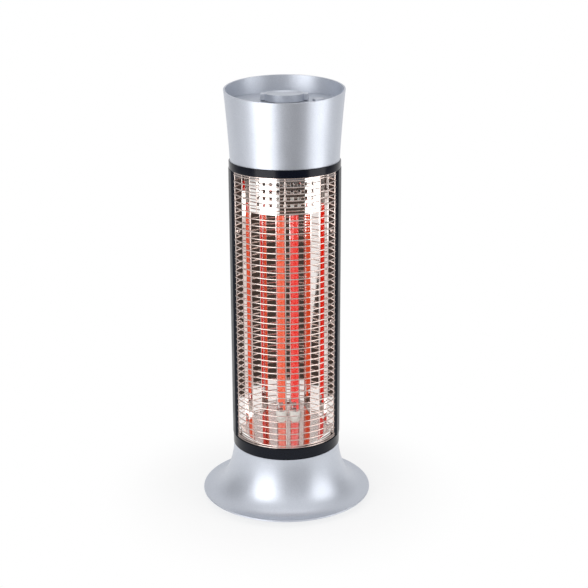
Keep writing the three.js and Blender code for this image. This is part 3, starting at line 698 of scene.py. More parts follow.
@dataclass(frozen=True)
class GlossLacquer:
    """Dark lacquer with a faint ripple and traces of dust."""

    name: str
    colour: Colour
    dusty: Colour
    roughness: Pair
    ripple: float = 0.10
    ripples: float = 160.0
    ripple_depth: float = 0.0001
    dust: float = 700.0
    dust_span: Pair = (0.45, 0.8)
    clouds: float = 45.0
    gloss: float = 0.18

    def make(self) -> bpy.types.Material:
        """Makes the material."""
        recipe = Recipe(self.name)
        dust, ripples = recipe.noise(self.dust, 4.0), recipe.noise(self.ripples, 1.0)
        return recipe.surface({
            "Base Color": recipe.ramp(dust, self.colour, self.dusty, *self.dust_span),
            "Roughness": recipe.span(recipe.noise(self.clouds, 3.0), *self.roughness),
            "Specular IOR Level": self.gloss,
            "Normal": recipe.bump(ripples, self.ripple, self.ripple_depth),
        })


@dataclass(frozen=True)
class RolledMirror:
    """Bright rolled sheet with fine lines along the rolling direction and a warm cast."""

    name: str
    dark: Colour
    light: Colour
    roughness: Pair
    lines: float = 30.0
    line_stretch: Place = (40.0, 40.0, 1.0)
    stains: float = 26.0
    stain_span: Pair = (0.35, 0.65)
    waves: float = 34.0
    wave_stretch: Place = (1.0, 1.0, 0.5)
    wave_share: float = 0.10
    wave_depth: float = 0.0003

    def make(self) -> bpy.types.Material:
        """Makes the material."""
        recipe = Recipe(self.name)
        lines = recipe.noise(self.lines, 4.0, recipe.stretched(self.line_stretch))
        stains = recipe.noise(self.stains, 3.0)
        waves = recipe.noise(self.waves, 1.0, recipe.stretched(self.wave_stretch))
        return recipe.surface({
            "Base Color": recipe.ramp(stains, self.dark, self.light, *self.stain_span),
            "Metallic": 1.0,
            "Roughness": recipe.span(lines, *self.roughness),
            "Normal": recipe.bump(waves, self.wave_share, self.wave_depth),
        })


@dataclass(frozen=True)
class PlatedMetal:
    """Plated or galvanised metal: cells of slightly different grey and fine scratches."""

    name: str
    dark: Colour
    light: Colour
    cells: float
    roughness: Pair
    clouds: float = 300.0
    scratches: float = 240.0
    scratch_stretch: Place = (1.0, 1.0, 9.0)
    scratch_share: float = 0.12
    scratch_depth: float = 0.00005

    def make(self) -> bpy.types.Material:
        """Makes the material."""
        recipe = Recipe(self.name)
        scratches = recipe.noise(self.scratches, 5.0, recipe.stretched(self.scratch_stretch))
        return recipe.surface({
            "Base Color": recipe.ramp(recipe.cells(self.cells), self.dark, self.light, 0.0, 1.0),
            "Metallic": 1.0,
            "Roughness": recipe.span(recipe.noise(self.clouds, 3.0), *self.roughness),
            "Normal": recipe.bump(scratches, self.scratch_share, self.scratch_depth),
        })


@dataclass(frozen=True)
class MouldedSurface:
    """Moulded plastic, rubber, ceramic or cast iron: one clouded colour and a grained surface."""

    name: str
    dark: Colour
    light: Colour
    grain: float
    depth: float
    roughness: Pair
    metallic: float = 0.0
    clouds: float = 60.0
    patches: float = 120.0
    grain_share: float = 0.5

    def make(self) -> bpy.types.Material:
        """Makes the material."""
        recipe = Recipe(self.name)
        return recipe.surface({
            "Base Color": recipe.ramp(recipe.noise(self.clouds, 5.0), self.dark, self.light),
            "Metallic": self.metallic,
            "Roughness": recipe.span(recipe.noise(self.patches, 3.0), *self.roughness),
            "Normal": recipe.bump(recipe.noise(self.grain, 3.0), self.grain_share, self.depth),
        })


@dataclass(frozen=True)
class QuartzGlass:
    """Clear drawn quartz with faint streaks along the tube."""

    name: str = "quartz_glass"
    tint: Colour = (0.97, 0.98, 1.0)
    roughness: Pair = (0.0, 0.05)
    clouds: float = 90.0
    streaks: float = 220.0
    streak_stretch: Place = (1.0, 1.0, 0.05)
    streak_share: float = 0.15
    streak_depth: float = 0.0002
    refraction: float = 1.458

    def make(self) -> bpy.types.Material:
        """Makes the material."""
        recipe = Recipe(self.name)
        streaks = recipe.noise(self.streaks, 2.0, recipe.stretched(self.streak_stretch))
        return recipe.surface({
            "Base Color": (*self.tint, 1.0),
            "Roughness": recipe.span(recipe.noise(self.clouds, 2.0), *self.roughness),
            "IOR": self.refraction,
            "Transmission Weight": 1.0,
            "Normal": recipe.bump(streaks, self.streak_share, self.streak_depth),
        })


@dataclass(frozen=True)
class GlowingCarbon:
    """Carbon fibre that glows through, brighter on the strands and dimmer between them."""

    name: str
    dim: Colour
    hot: Colour
    strength: float = 1.0
    strands: float = 900.0
    strand_stretch: Place = (1.0, 1.0, 0.6)
    strand_span: Pair = (0.36, 0.66)
    strand_share: float = 0.4
    strand_depth: float = 0.0002
    ash: Colour = (0.03, 0.02, 0.02)
    roughness: float = 0.8

    def make(self) -> bpy.types.Material:
        """Makes the material."""
        recipe = Recipe(self.name)
        strands = recipe.noise(self.strands, 3.0, recipe.stretched(self.strand_stretch))
        glow = recipe.ramp(strands, self.dim, self.hot, *self.strand_span)
        return recipe.surface({
            "Base Color": (*self.ash, 1.0),
            "Roughness": self.roughness,
            "Emission Color": glow,
            "Emission Strength": self.strength,
            "Normal": recipe.bump(strands, self.strand_share, self.strand_depth),
        })


SILVER = SilverLacquer()
BLACK_GLOSS = GlossLacquer(
    "black_gloss", (0.0020, 0.0034, 0.0080), (0.005, 0.007, 0.014), (0.14, 0.22)
)
BLACK_STEEL = GlossLacquer(
    "black_steel", (0.010, 0.012, 0.018), (0.022, 0.026, 0.036), (0.28, 0.38), 0.25
)
MIRROR = RolledMirror("mirror_sheet", (0.80, 0.73, 0.70), (0.91, 0.86, 0.84), (0.01, 0.05))
# A lighter copy of the mirror sheet for the chamber floor and shield: painted brightness. Its
# rougher lines are a surface finish.
MIRROR_PAINTED_LIGHTER = RolledMirror("mirror_sheet_painted_lighter", (0.86, 0.83, 0.81), (0.94, 0.92, 0.90), (0.03, 0.09))
CHROME = PlatedMetal("chrome_wire", (0.72, 0.60, 0.55), (0.86, 0.74, 0.69), 900.0, (0.08, 0.16))
ZINC = PlatedMetal("zinc_steel", (0.46, 0.46, 0.45), (0.66, 0.66, 0.64), 260.0, (0.28, 0.42))
IRON = MouldedSurface(
    "grey_iron", (0.05, 0.05, 0.055), (0.10, 0.10, 0.105), 900.0, 0.0003, (0.6, 0.8), 0.3
)
CERAMIC = MouldedSurface(
    "white_ceramic", (0.72, 0.69, 0.64), (0.84, 0.82, 0.78), 1600.0, 0.00006, (0.35, 0.5)
)
DARK_PLASTIC = MouldedSurface(
    "dark_plastic", (0.014, 0.015, 0.017), (0.024, 0.025, 0.028), 1800.0, 0.00008, (0.4, 0.55)
)
WHITE_PLASTIC = MouldedSurface(
    "white_plastic", (0.62, 0.61, 0.56), (0.72, 0.71, 0.67), 1500.0, 0.00005, (0.35, 0.5)
)
RUBBER = MouldedSurface(
    "black_rubber", (0.008, 0.008, 0.008), (0.018, 0.018, 0.018), 1300.0, 0.0001, (0.7, 0.85)
)
QUARTZ = QuartzGlass()
ORANGE_GLOW = GlowingCarbon("glowing_carbon_left", (0.80, 0.05, 0.01), (0.95, 0.15, 0.05))
RED_GLOW = GlowingCarbon("glowing_carbon_right", (0.75, 0.010, 0.002), (0.92, 0.022, 0.006))


def mount(made: Piece, body: Body, slot: str, finish: Finish, *nodes: str) -> None:
    """Dresses a finished piece and puts it on its body.

    Args:
        made: The finished piece.
        body: Body that it rides on.
        slot: Slot of the record; not used.
        finish: The finish.
        *nodes: Nodes of the part for which it stands.
    """
    made.data.materials.clear()
    made.data.materials.append(material_of(finish))
    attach(made, body.value)
    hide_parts(*nodes)
    log.info("%s: %d faces on %s", made.name, len(made.data.polygons), body.value)


# ----------------------------------------------------------------------------
# Base
# ----------------------------------------------------------------------------


@dataclass(frozen=True)
class PanScrew:
    """A pan-headed screw whose head hangs below zero and whose shank stands up."""

    radius: float
    height: float
    length: float
    dome: Profile = ((0.45, 1.0), (0.75, 0.88), (0.93, 0.6), (1.0, 0.25))
    cross_reach: float = 0.5
    cross_half: float = 0.11
    cross_floor: float = 0.35

    def build(self) -> Piece:
        """Makes the screw with a cross in its head."""
        shank = self.radius / 2
        outline = [
            (0.0, -self.height),
            *[(self.radius * across, -self.height * down) for across, down in self.dome],
            (self.radius, 0.0), (shank, 0.0), (shank, self.length), (0.0, self.length),
        ]
        screw = lathe("screw", outline, Segments.SCREW)
        reach, half = self.radius * self.cross_reach, self.radius * self.cross_half
        bottom, top = -self.height - OVERRUN, -self.height * self.cross_floor
        for x, y in ((reach, half), (half, reach)):
            cut(screw, [block("cross", (-x, -y, bottom), (x, y, top))])
        shade(screw, angle=0.6)
        return screw


@dataclass
class BaseFoot:
    """The flared foot: shell, plate, rubber feet, their screws and the cord's gland."""

    rim_radius: float = 0.126
    neck_radius: float = 0.0788
    height: float = 0.084
    neck_straight: float = 0.002
    flare_foot: float = 0.0108
    lip_round: float = 0.0015
    lip_height: float = 0.002
    wall: float = 0.002
    deck_wall: float = 0.003
    hub_hole: float = 0.0203
    radius_share: float = 0.81
    height_share: float = 1.21
    flare_steps: int = 44
    lip_steps: int = 5
    plate_radius: float = 0.1125
    plate_lift: float = 0.0015
    plate_top: float = 0.004
    plate_rim_wall: float = 0.002
    foot_radius: float = 0.009
    foot_peg: float = 0.0025
    foot_peg_top: float = 0.0055
    foot_edge: Profile = (
        (0.0024, 0.0), (0.0022, -0.0003), (0.0016, -0.0003), (0.0014, 0.0), (0.0008, 0.0),
        (0.0, -0.0008),
    )
    screw: PanScrew = PanScrew(0.003, 0.001, 0.012)
    gland_height: float = 0.024
    gland_hole: float = 0.0073
    gland_bore: float = 0.0034
    gland_body: float = 0.007
    gland_collar: float = 0.009
    gland_tip: float = 0.0048
    gland_ring: float = 0.0025
    gland_flange: float = 0.003
    gland_tail: float = 0.011
    gland_ribs: int = 4
    gland_rib: Profile = ((-0.0006, 0.0011), (0.0004, 0.0009), (0.0004, 0.0003), (0.0, 0.0))

    def flare(self) -> Outline:
        """Gives the flare's outer line from the neck down to the lip."""
        top = self.height - self.neck_straight
        end = self.rim_radius - self.lip_round
        line = []
        for step in range(self.flare_steps + 1):
            angle = QUARTER_TURN * step / self.flare_steps
            inward = max(math.cos(angle), 0.0) ** self.radius_share
            down = math.sin(angle) ** self.height_share
            reach = (end - self.neck_radius) * (inward if step < self.flare_steps else 0.0)
            line.append((end - reach, top - (top - self.flare_foot) * down))
        return line

    def inside(self) -> Outline:
        """Gives the flare's inner line, from the neck down."""
        lip_bottom = self.flare_foot - self.lip_height
        moved = moved_line(self.flare(), -self.wall)
        return [(radius, max(height, lip_bottom)) for radius, height in moved]

    def lip(self) -> Outline:
        """Gives the rounded lip below the flare."""
        across, up = self.rim_radius - self.lip_round, self.flare_foot - self.lip_round
        line = []
        for step in range(1, self.lip_steps + 1):
            angle = QUARTER_TURN * (1 - step / self.lip_steps)
            reach, rise = self.lip_round * math.cos(angle), self.lip_round * math.sin(angle)
            line.append((across + reach, up + rise))
        return [*line, (self.rim_radius, self.flare_foot - self.lip_height)]

    def build_shell(self) -> Piece:
        """Makes the shell with its deck and the gland's hole."""
        inner = self.inside()[::2]
        inner.reverse()
        deck_bottom = self.height - self.deck_wall
        outline = [
            (self.hub_hole, self.height), (self.neck_radius, self.height),
            *self.flare(), *self.lip(), *inner,
            (inner[-1][0], deck_bottom), (self.hub_hole, deck_bottom),
        ]
        shell = lathe("base_shell" + FINE, outline, Segments.LARGE)
        low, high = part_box("cord_gland")
        start, end = (0, low.y, self.gland_height), (0, high.y, self.gland_height)
        cut(shell, [rod("gland_hole", self.gland_hole, start, end, Segments.HOLE)])
        soften(shell, Rounding.SHELL, 3)
        return shell

    def build_plate(self) -> Piece:
        """Makes the plate that closes the foot, with its rim up to the flare."""
        _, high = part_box("base_plate")
        rim_inner = self.plate_radius - self.plate_rim_wall
        outline = [
            (0.0, self.plate_lift), (self.plate_radius, self.plate_lift),
            (self.plate_radius, high.z), (rim_inner, high.z),
            (rim_inner, self.plate_top), (0.0, self.plate_top),
        ]
        plate = lathe("base_plate" + FINE, outline, Segments.LARGE)
        soften(plate, Rounding.SHELL)
        return plate

    def build_foot(self) -> Piece:
        """Makes one rubber foot about the axis, with a groove round its edge."""
        outline = [
            (0.0, 0.0), *corners_at(self.foot_edge, self.foot_radius, 0.0),
            (self.foot_radius, self.plate_lift), (self.foot_peg, self.plate_lift),
            (self.foot_peg, self.foot_peg_top), (0.0, self.foot_peg_top),
        ]
        return lathe("foot", outline, Segments.SMALL)

    def build_gland(self) -> Piece:
        """Makes the rubber gland with its ribbed tail, laid along the cord's way."""
        low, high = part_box("cord_gland")
        body, collar = self.gland_body, self.gland_collar
        ring, tail = low.y + self.gland_ring, high.y - self.gland_tail
        flange = tail - self.gland_flange
        outline = [
            (self.gland_bore, low.y), (collar, low.y), (collar, ring), (body, ring),
            (body, flange), (collar, flange), (collar, tail), (body, tail),
        ]
        for rib in range(1, self.gland_ribs + 1):
            share = rib / self.gland_ribs
            radius = body + (self.gland_tip - body) * share
            outline += corners_at(self.gland_rib, radius, tail + self.gland_tail * share)
        outline.append((self.gland_bore, high.y))
        gland = lathe("cord_gland" + FINE, outline, Segments.SMALL)
        gland.rotation_euler = (-QUARTER_TURN, 0, 0)
        gland.location = (0, 0, self.gland_height)
        settle(gland)
        soften(gland, Rounding.SLIGHT)
        return gland

    def dress(self) -> None:
        """Builds, dresses and places all of the foot's pieces."""
        mount(self.build_shell(), Body.BASE, "silver_plastic", SILVER, "base_shell")
        mount(self.build_plate(), Body.BASE, "silver_plastic", SILVER, "base_plate")
        mount(self.build_gland(), Body.BASE, "black_rubber", RUBBER, "cord_gland")
        foot, screw = self.build_foot(), self.screw.build()
        for index in range(1, 5):
            node = f"foot_{index}"
            x, y, _ = middle_of(node)
            copy = copy_of(foot, node + FINE, (x, y, 0.0))
            soften(copy, Rounding.HAIR)
            mount(copy, Body.BASE, "black_rubber", RUBBER, node)
            node = f"base_screw_{index}"
            x, y, _ = middle_of(node)
            copy = copy_of(screw, node + FINE, (x, y, self.plate_lift))
            mount(copy, Body.BASE, "zinc_steel", ZINC, node)
        drop(foot)
        drop(screw)


# ----------------------------------------------------------------------------
# Column
# ----------------------------------------------------------------------------


@dataclass
class Levels:
    """Heights of the column that several pieces share."""

    lower_ring: float = 0.0846
    window_bottom: float = 0.101
    window_top: float = 0.5006
    upper_lip: float = 0.505
    upper_deck: float = 0.507
    upper_deck_top: float = 0.5095
    head_bottom: float = 0.5114
    lower_deck: float = 0.0893
    lower_deck_top: float = 0.0918


@dataclass
class BlackRings:
    """The gloss black rings below and above the window."""

    radius: float = 0.0795
    lip: float = 0.0014
    step: float = 0.004
    wall: float = 0.005
    hub_bore: float = 0.012
    wire_hole: float = 0.020
    lip_depth: float = 0.0065

    def radii(self) -> tuple[float, float, float]:
        """Gives the radii inside a ring's lip, of its step and inside its wall."""
        return self.radius - self.lip, self.radius - self.step, self.radius - self.wall

    def build_ring(self, name: str, outline: Outline) -> Piece:
        """Makes a ring of its section."""
        ring = lathe(name + FINE, outline, Segments.LARGE)
        soften(ring, Rounding.RING, 3)
        return ring

    def build_lower(self, at: Levels) -> Piece:
        """Makes the ring below the window with its deck."""
        inner, shoulder, wall = self.radii()
        lip_base = at.window_bottom - self.lip_depth
        return self.build_ring("lower_ring", [
            (self.hub_bore, at.lower_deck), (wall, at.lower_deck),
            (wall, at.lower_ring), (self.radius, at.lower_ring),
            (self.radius, at.window_bottom), (inner, at.window_bottom),
            (inner, lip_base), (shoulder, lip_base),
            (shoulder, at.lower_deck_top), (self.hub_bore, at.lower_deck_top),
        ])

    def build_upper(self, at: Levels) -> Piece:
        """Makes the ring above the window with its deck."""
        inner, shoulder, wall = self.radii()
        return self.build_ring("upper_ring", [
            (self.wire_hole, at.upper_deck), (shoulder, at.upper_deck),
            (shoulder, at.upper_lip), (inner, at.upper_lip),
            (inner, at.window_top), (self.radius, at.window_top),
            (self.radius, at.head_bottom), (wall, at.head_bottom),
            (wall, at.upper_deck_top), (self.wire_hole, at.upper_deck_top),
        ])

    def dress(self, at: Levels) -> None:
        """Builds, dresses and places both rings."""
        mount(self.build_lower(at), Body.COLUMN, "black_gloss", BLACK_GLOSS, "lower_ring")
        mount(self.build_upper(at), Body.COLUMN, "black_gloss", BLACK_GLOSS, "upper_ring")


@dataclass
class RearHousing:
    """The black shell round the back, with returns along the window and two fields of vents."""

    radius: float = 0.080
    wall: float = 0.002
    edge_depth: float = 0.027
    return_end: float = 0.062
    steps: int = 96
    vent_rows: int = 4
    vent_height: float = 0.003
    vent_width: float = 0.030
    vent_pitch: float = 0.010
    vent_angle: float = math.radians(33.75)
    vent_margin: float = 0.024

    def build(self, at: Levels) -> Piece:
        """Makes the shell and cuts its vents."""
        inner = self.radius - self.wall
        return_depth = self.edge_depth - self.wall
        edge = math.acos(self.edge_depth / self.radius)
        inner_edge = math.acos(return_depth / inner)
        outline = [
            *arc(self.radius, edge, WHOLE_TURN - edge, self.steps),
            (-self.return_end, -self.edge_depth), (-self.return_end, -return_depth),
            *arc(inner, WHOLE_TURN - inner_edge, inner_edge, self.steps),
            (self.return_end, -return_depth), (self.return_end, -self.edge_depth),
        ]
        housing = raise_area("rear_housing" + FINE, outline, at.window_bottom, at.window_top)
        cut(housing, self.vent_cutters(at))
        soften(housing, Rounding.SMALL)
        return housing

    def pull_side(self, bar: Piece, sign: int) -> None:
        """Moves one side of a round bar outwards, which leaves it flat above and below.

        Args:
            bar: The bar.
            sign: One for its right side and minus one for its left.
        """
        half = self.vent_height / 2

        def on_side(place: Vector, _: Vector) -> bool:
            """Says whether a face lies on that side of the bar, and not at its end."""
            return place.x * sign > half / 20 and abs(place.y - self.radius) < OVERRUN / 2

        start_edit(bar)
        pick_faces(bar, on_side)
        bpy.ops.mesh.select_mode(type="VERT")
        bpy.ops.transform.translate(value=(sign * (self.vent_width / 2 - half), 0, 0))
        leave_edit()

    def vent_cutters(self, at: Levels) -> list[Piece]:
        """Makes the round-ended bars that cut the vents."""
        half = self.vent_height / 2
        start, end = (0, self.radius - OVERRUN, 0), (0, self.radius + OVERRUN, 0)
        bar = rod("vent", half, start, end, Segments.VENT)
        for sign in (-1, 1):
            self.pull_side(bar, sign)
        field = (self.vent_rows - 1) * self.vent_pitch + self.vent_height
        bottoms = [at.window_bottom + self.vent_margin, at.window_top - self.vent_margin - field]
        copies = []
        for bottom in bottoms:
            for row in range(self.vent_rows):
                for side in (-0.5, 0.5):
                    height = bottom + row * self.vent_pitch + half
                    turn = (0.0, 0.0, side * self.vent_angle)
                    copies.append(copy_of(bar, "vent_copy", (0.0, 0.0, height), turn))
        drop(bar)
        return copies

    def dress(self, at: Levels) -> None:
        """Builds, dresses and places the shell."""
        mount(self.build(at), Body.COLUMN, "black_steel", BLACK_STEEL, "rear_housing")


@dataclass
class MirrorChamber:
    """The folded reflector, its screws, the perforated shield and the sloping floor."""

    half_face: Profile = (
        (0.0275, 0.012), (0.036, -0.007), (0.049, -0.009), (0.056, -0.018), (0.060, -0.028),
        (0.0694, -0.028),
    )
    sheet: float = 0.001
    fold_radius: float = 0.0008
    screw: PanScrew = PanScrew(0.0026, 0.001, 0.006)
    shield_radius: float = 0.068
    shield_drop: float = 0.0546
    hole_rows: int = 4
    hole_columns: int = 9
    hole_width: float = 0.0042
    hole_height: float = 0.0050
    hole_pitch: float = 0.010
    first_row: float = 0.013
    floor_radius: float = 0.0744
    floor_slope: float = math.radians(20.0)
    floor_rise: float = 0.0006
    floor_gap: float = 0.0003
    skirt_angle: float = math.radians(65.5)
    skirt_inset: float = 0.0006
    round_steps: int = 48
    cap_gap: float = 0.0006

    def face(self) -> Outline:
        """Gives the folded sheet's front face in the plan, from left to right."""
        return [*[(-x, y) for x, y in reversed(self.half_face)], *self.half_face]

    def thicken(self, made: Piece) -> None:
        """Gives a bent sheet its thickness."""
        use_modifier(made, "SOLIDIFY", thickness=self.sheet, offset=0.0, use_even_offset=True)
        start_edit(made)
        clean()
        leave_edit()

    def build_reflector(self, at: Levels) -> Piece:
        """Folds the mirror sheet and gives it its thickness."""
        middle = moved_line(self.face(), self.sheet / 2)
        levels = [at.lower_deck_top, at.upper_deck]
        made = trace("reflector" + FINE, [(x, y, levels[0]) for x, y in middle])
        raise_line(levels)
        leave_edit()
        bevel(made, self.fold_radius, segments=4, angle=0.1)
        self.thicken(made)
        shade(made)
        return made

    def build_shield(self, at: Levels) -> Piece:
        """Bends the shield's sheet, opens its holes and gives it its thickness."""
        radius = self.shield_radius - self.sheet / 2
        step = self.hole_pitch / self.shield_radius
        half_hole = self.hole_width / 2 / self.shield_radius
        last = (self.hole_columns - 1) / 2
        columns = [(column - last) * step for column in range(self.hole_columns)]
        half_span = (self.hole_columns + 2) / 2 * step
        turns = [-half_span, -half_span + step / 4, columns[0] - step / 2]
        for column in columns:
            turns += [column - half_hole, column + half_hole, column + step / 2]
        turns += [half_span - step / 4, half_span]
        bottom = at.window_top - self.shield_drop
        rows = [bottom + self.first_row + row * self.hole_pitch for row in range(self.hole_rows)]
        levels = [bottom, bottom + self.first_row / 2]
        for row in rows:
            levels += [row - self.hole_height / 2, row + self.hole_height / 2]
        levels.append(at.upper_deck)
        points = [(radius * math.sin(turn), -radius * math.cos(turn), bottom) for turn in turns]
        made = trace("top_shield" + FINE, points)
        raise_line(levels)
        pick_faces(made, lambda place, _: self.in_hole(place, columns, rows))
        bpy.ops.mesh.delete(type="FACE")
        leave_edit()
        self.thicken(made)
        soften(made, Rounding.HAIR, angle=0.9)
        return made

    def in_hole(self, place: Vector, columns: list[float], rows: list[float]) -> bool:
        """Says whether a face of the shield lies where a hole is.

        Args:
            place: Middle of the face.
            columns: Angles of the columns of holes.
            rows: Heights of the rows of holes.

        Returns:
            True in a hole.
        """
        turn = math.atan2(place.x, -place.y)
        across, up = self.hole_width / 4 / self.shield_radius, self.hole_height / 4
        in_column = any(abs(turn - column) < across for column in columns)
        return in_column and any(abs(place.z - row) < up for row in rows)

    def build_floor(self, at: Levels) -> Piece:
        """Makes the sloping sheet under the tubes with its bent skirt and the caps' holes."""
        start = Vector((0.0, -self.floor_radius, at.window_bottom + self.floor_rise))
        upward = Vector((0.0, -math.sin(self.floor_slope), math.cos(self.floor_slope)))
        face = moved_line(self.face(), -self.floor_gap)[1:-1]
        edge = math.acos(-face[0][1] / self.floor_radius)
        outline = [*face, *arc(self.floor_radius, edge, -edge, self.round_steps)]
        plate = raise_area("chamber_floor" + FINE, outline, at.lower_deck_top, at.window_top)
        cut_off(plate, start, upward)
        cut_off(plate, start - upward * self.sheet, -upward)
        turn, outer = self.skirt_angle, self.floor_radius - self.skirt_inset
        outline = [
            *arc(outer - self.sheet, -turn, turn, self.round_steps),
            *arc(outer, turn, -turn, self.round_steps),
        ]
        skirt = raise_area("skirt", outline, at.lower_deck_top, at.window_top)
        cut_off(skirt, start - upward * self.sheet / 2, upward)
        weld(plate, [skirt])
        for side in ("left", "right"):
            low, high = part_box(f"tube_cap_{side}_lower")
            x, y = (low.x + high.x) / 2, (low.y + high.y) / 2
            radius = (high.x - low.x) / 2 + self.cap_gap
            bottom, top = (x, y, at.lower_deck_top), (x, y, at.window_top)
            cut(plate, [rod("cap_hole", radius, bottom, top, Segments.SMALL)])
        soften(plate, Rounding.HAIR)
        return plate

    def dress(self, at: Levels) -> None:
        """Builds, dresses and places the chamber's pieces."""
        # Floor and shield take the lighter copy of the mirror sheet, which paints brightness on
        # them.
        mount(self.build_floor(at), Body.COLUMN, "mirror_sheet", MIRROR_PAINTED_LIGHTER, "chamber_floor")
        mount(self.build_reflector(at), Body.COLUMN, "mirror_sheet", MIRROR, "reflector")
        mount(self.build_shield(at), Body.COLUMN, "mirror_sheet", MIRROR_PAINTED_LIGHTER, "top_shield")
        screw = self.screw.build()
        for index in range(1, 7):
            node = f"reflector_screw_{index}"
            low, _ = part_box(node)
            x, _, z = middle_of(node)
            place = (x, low.y + self.screw.height, z)
            copy = copy_of(screw, node + FINE, place, (-QUARTER_TURN, 0.0, 0.0))
            mount(copy, Body.COLUMN, "zinc_steel", CHROME, node)
        drop(screw)


@dataclass
class CarbonTubes:
    """Two quartz tubes with their wound elements and ceramic caps."""

    quartz_radius: float = 0.007
    quartz_wall: float = 0.001
    cap_radius: float = 0.0085
    cap_body: float = 0.016
    cap_socket: float = 0.006
    socket_gap: float = 0.0003
    cap_groove: Profile = ((0.0, 0.0105), (0.0006, 0.0099), (0.0006, 0.0081), (0.0, 0.0075))
    coil_radius: float = 0.0040
    strand_radius: float = 0.0019
    coil_pitch: float = 0.0042
    coil_steps: int = 20
    lead: float = 0.0176
    forward: float = 0.008

    def build_quartz(self, name: str, x: float) -> Piece:
        """Makes one quartz tube with softened ends."""
        low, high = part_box(name)
        inner = self.quartz_radius - self.quartz_wall
        outer = self.quartz_radius
        outline = [(inner, low.z), (outer, low.z), (outer, high.z), (inner, high.z)]
        tube = lathe(name + FINE, outline, Segments.SMALL, (x, -self.forward))
        soften(tube, Rounding.SLIGHT)
        return tube

    def build_element(self, name: str, x: float) -> Piece:
        """Winds one carbon strand into a close spring with a straight lead at each end.

        Args:
            name: Node for which the element stands.
            x: Place of the tube's axis.

        Returns:
            The element.
        """
        low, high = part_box(name)
        bottom, top = low.z + self.lead, high.z - self.lead
        steps = round((top - bottom) / self.coil_pitch) * self.coil_steps
        reach = self.coil_radius
        line = [(reach, 0.0, low.z + self.strand_radius)]
        for step in range(steps + 1):
            angle = WHOLE_TURN * step / self.coil_steps
            height = bottom + (top - bottom) * step / steps
            line.append((reach * math.cos(angle), reach * math.sin(angle), height))
        line.append((reach, 0.0, high.z - self.strand_radius))
        element = trace(name + FINE, [(x + px, py - self.forward, pz) for px, py, pz in line])
        leave_edit()
        activate(element)
        bpy.ops.object.convert(target="CURVE")
        element = bpy.context.object
        element.data.bevel_depth = self.strand_radius
        element.data.bevel_resolution = 1
        element.data.use_fill_caps = True
        bpy.ops.object.convert(target="MESH")
        element = bpy.context.object
        shade(element, angle=1.2)
        return element

    def build_cap(self) -> Piece:
        """Makes one ceramic cap whose socket floor is at zero, with a groove round it."""
        socket, radius = self.quartz_radius + self.socket_gap, self.cap_radius
        outline = [
            (0.0, -self.cap_body), (radius, -self.cap_body),
            *corners_at(self.cap_groove, radius, 0.0),
            (radius, self.cap_socket), (socket, self.cap_socket), (socket, 0.0), (0.0, 0.0),
        ]
        cap = lathe("tube_cap", outline, Segments.SMALL)
        soften(cap, Rounding.SMALL)
        return cap

    def dress(self) -> None:
        """Builds, dresses and places tubes, elements and caps."""
        cap = self.build_cap()
        for side, glow in (("left", ORANGE_GLOW), ("right", RED_GLOW)):
            quartz, element = f"quartz_tube_{side}", f"carbon_element_{side}"
            low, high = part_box(quartz)
            x = (low.x + high.x) / 2
            mount(self.build_quartz(quartz, x), Body.COLUMN, "quartz_glass", QUARTZ, quartz)
            mount(self.build_element(element, x), Body.COLUMN, "glowing_carbon", glow, element)
            for end, height, turn in (("lower", low.z, 0.0), ("upper", high.z, math.pi)):
                node = f"tube_cap_{side}_{end}"
                copy = copy_of(cap, node + FINE, (x, -self.forward, height), (turn, 0.0, 0.0))
                mount(copy, Body.COLUMN, "white_ceramic", CERAMIC, node)
        drop(cap)


@dataclass
class WireGrille:
    """The welded grille: bent cross wires in front of five uprights."""

    radius: float = 0.077
    wire: float = 0.00085
    half_angle: float = math.radians(68.0)
    arcs: int = 43
    edge: float = 0.0042
    doubling: float = 0.0032
    upright_shares: tuple[float, ...] = (-1.0, -0.59, 0.0, 0.59, 1.0)
    upright_inset: float = 0.0012
    upright_wire: float = 0.0006
    arc_steps: int = 34

    def build_arcs(self, at: Levels) -> Piece:
        """Bends one cross wire and copies it up the window."""
        first = at.window_bottom + self.edge
        pitch = (at.window_top - at.window_bottom - 2 * self.edge) / (self.arcs - 1)
        start = -self.half_angle
        x, y = arc(self.radius, start, -start, 1)[0]
        deselect()
        bpy.ops.mesh.primitive_circle_add(
            vertices=Segments.WIRE.value,
            radius=self.wire,
            fill_type="NGON",
            location=(x, y, first - self.doubling),
            rotation=(QUARTER_TURN, 0, start + QUARTER_TURN),
        )
        wires = settle(named("front_grille" + FINE))
        start_edit(wires)
        bpy.ops.mesh.spin(steps=self.arc_steps, angle=-2 * start, center=ORIGIN, axis=DOWN)
        clean()
        for step in [self.doubling, *[pitch] * (self.arcs - 1), self.doubling]:
            bpy.ops.mesh.duplicate_move(TRANSFORM_OT_translate={"value": (0, 0, step)})
        leave_edit()
        return wires

    def build_uprights(self) -> list[Piece]:
        """Makes the five uprights, whose ends stand behind the rings' lips."""
        low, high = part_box("front_grille")
        inner = self.radius - self.upright_inset
        uprights = []
        for share in self.upright_shares:
            turn = share * (self.half_angle - self.wire / self.radius)
            x, y = inner * math.sin(turn), -inner * math.cos(turn)
            ends = (x, y, low.z), (x, y, high.z)
            uprights.append(rod("upright", self.upright_wire, *ends, Segments.WIRE))
        return uprights

    def dress(self, at: Levels) -> None:
        """Builds, joins, dresses and places the grille."""
        grille = join([self.build_arcs(at), *self.build_uprights()])
        shade(grille, angle=0.9)
        mount(grille, Body.COLUMN, "chrome_wire", CHROME, "front_grille")


# ----------------------------------------------------------------------------
# Head
# ----------------------------------------------------------------------------


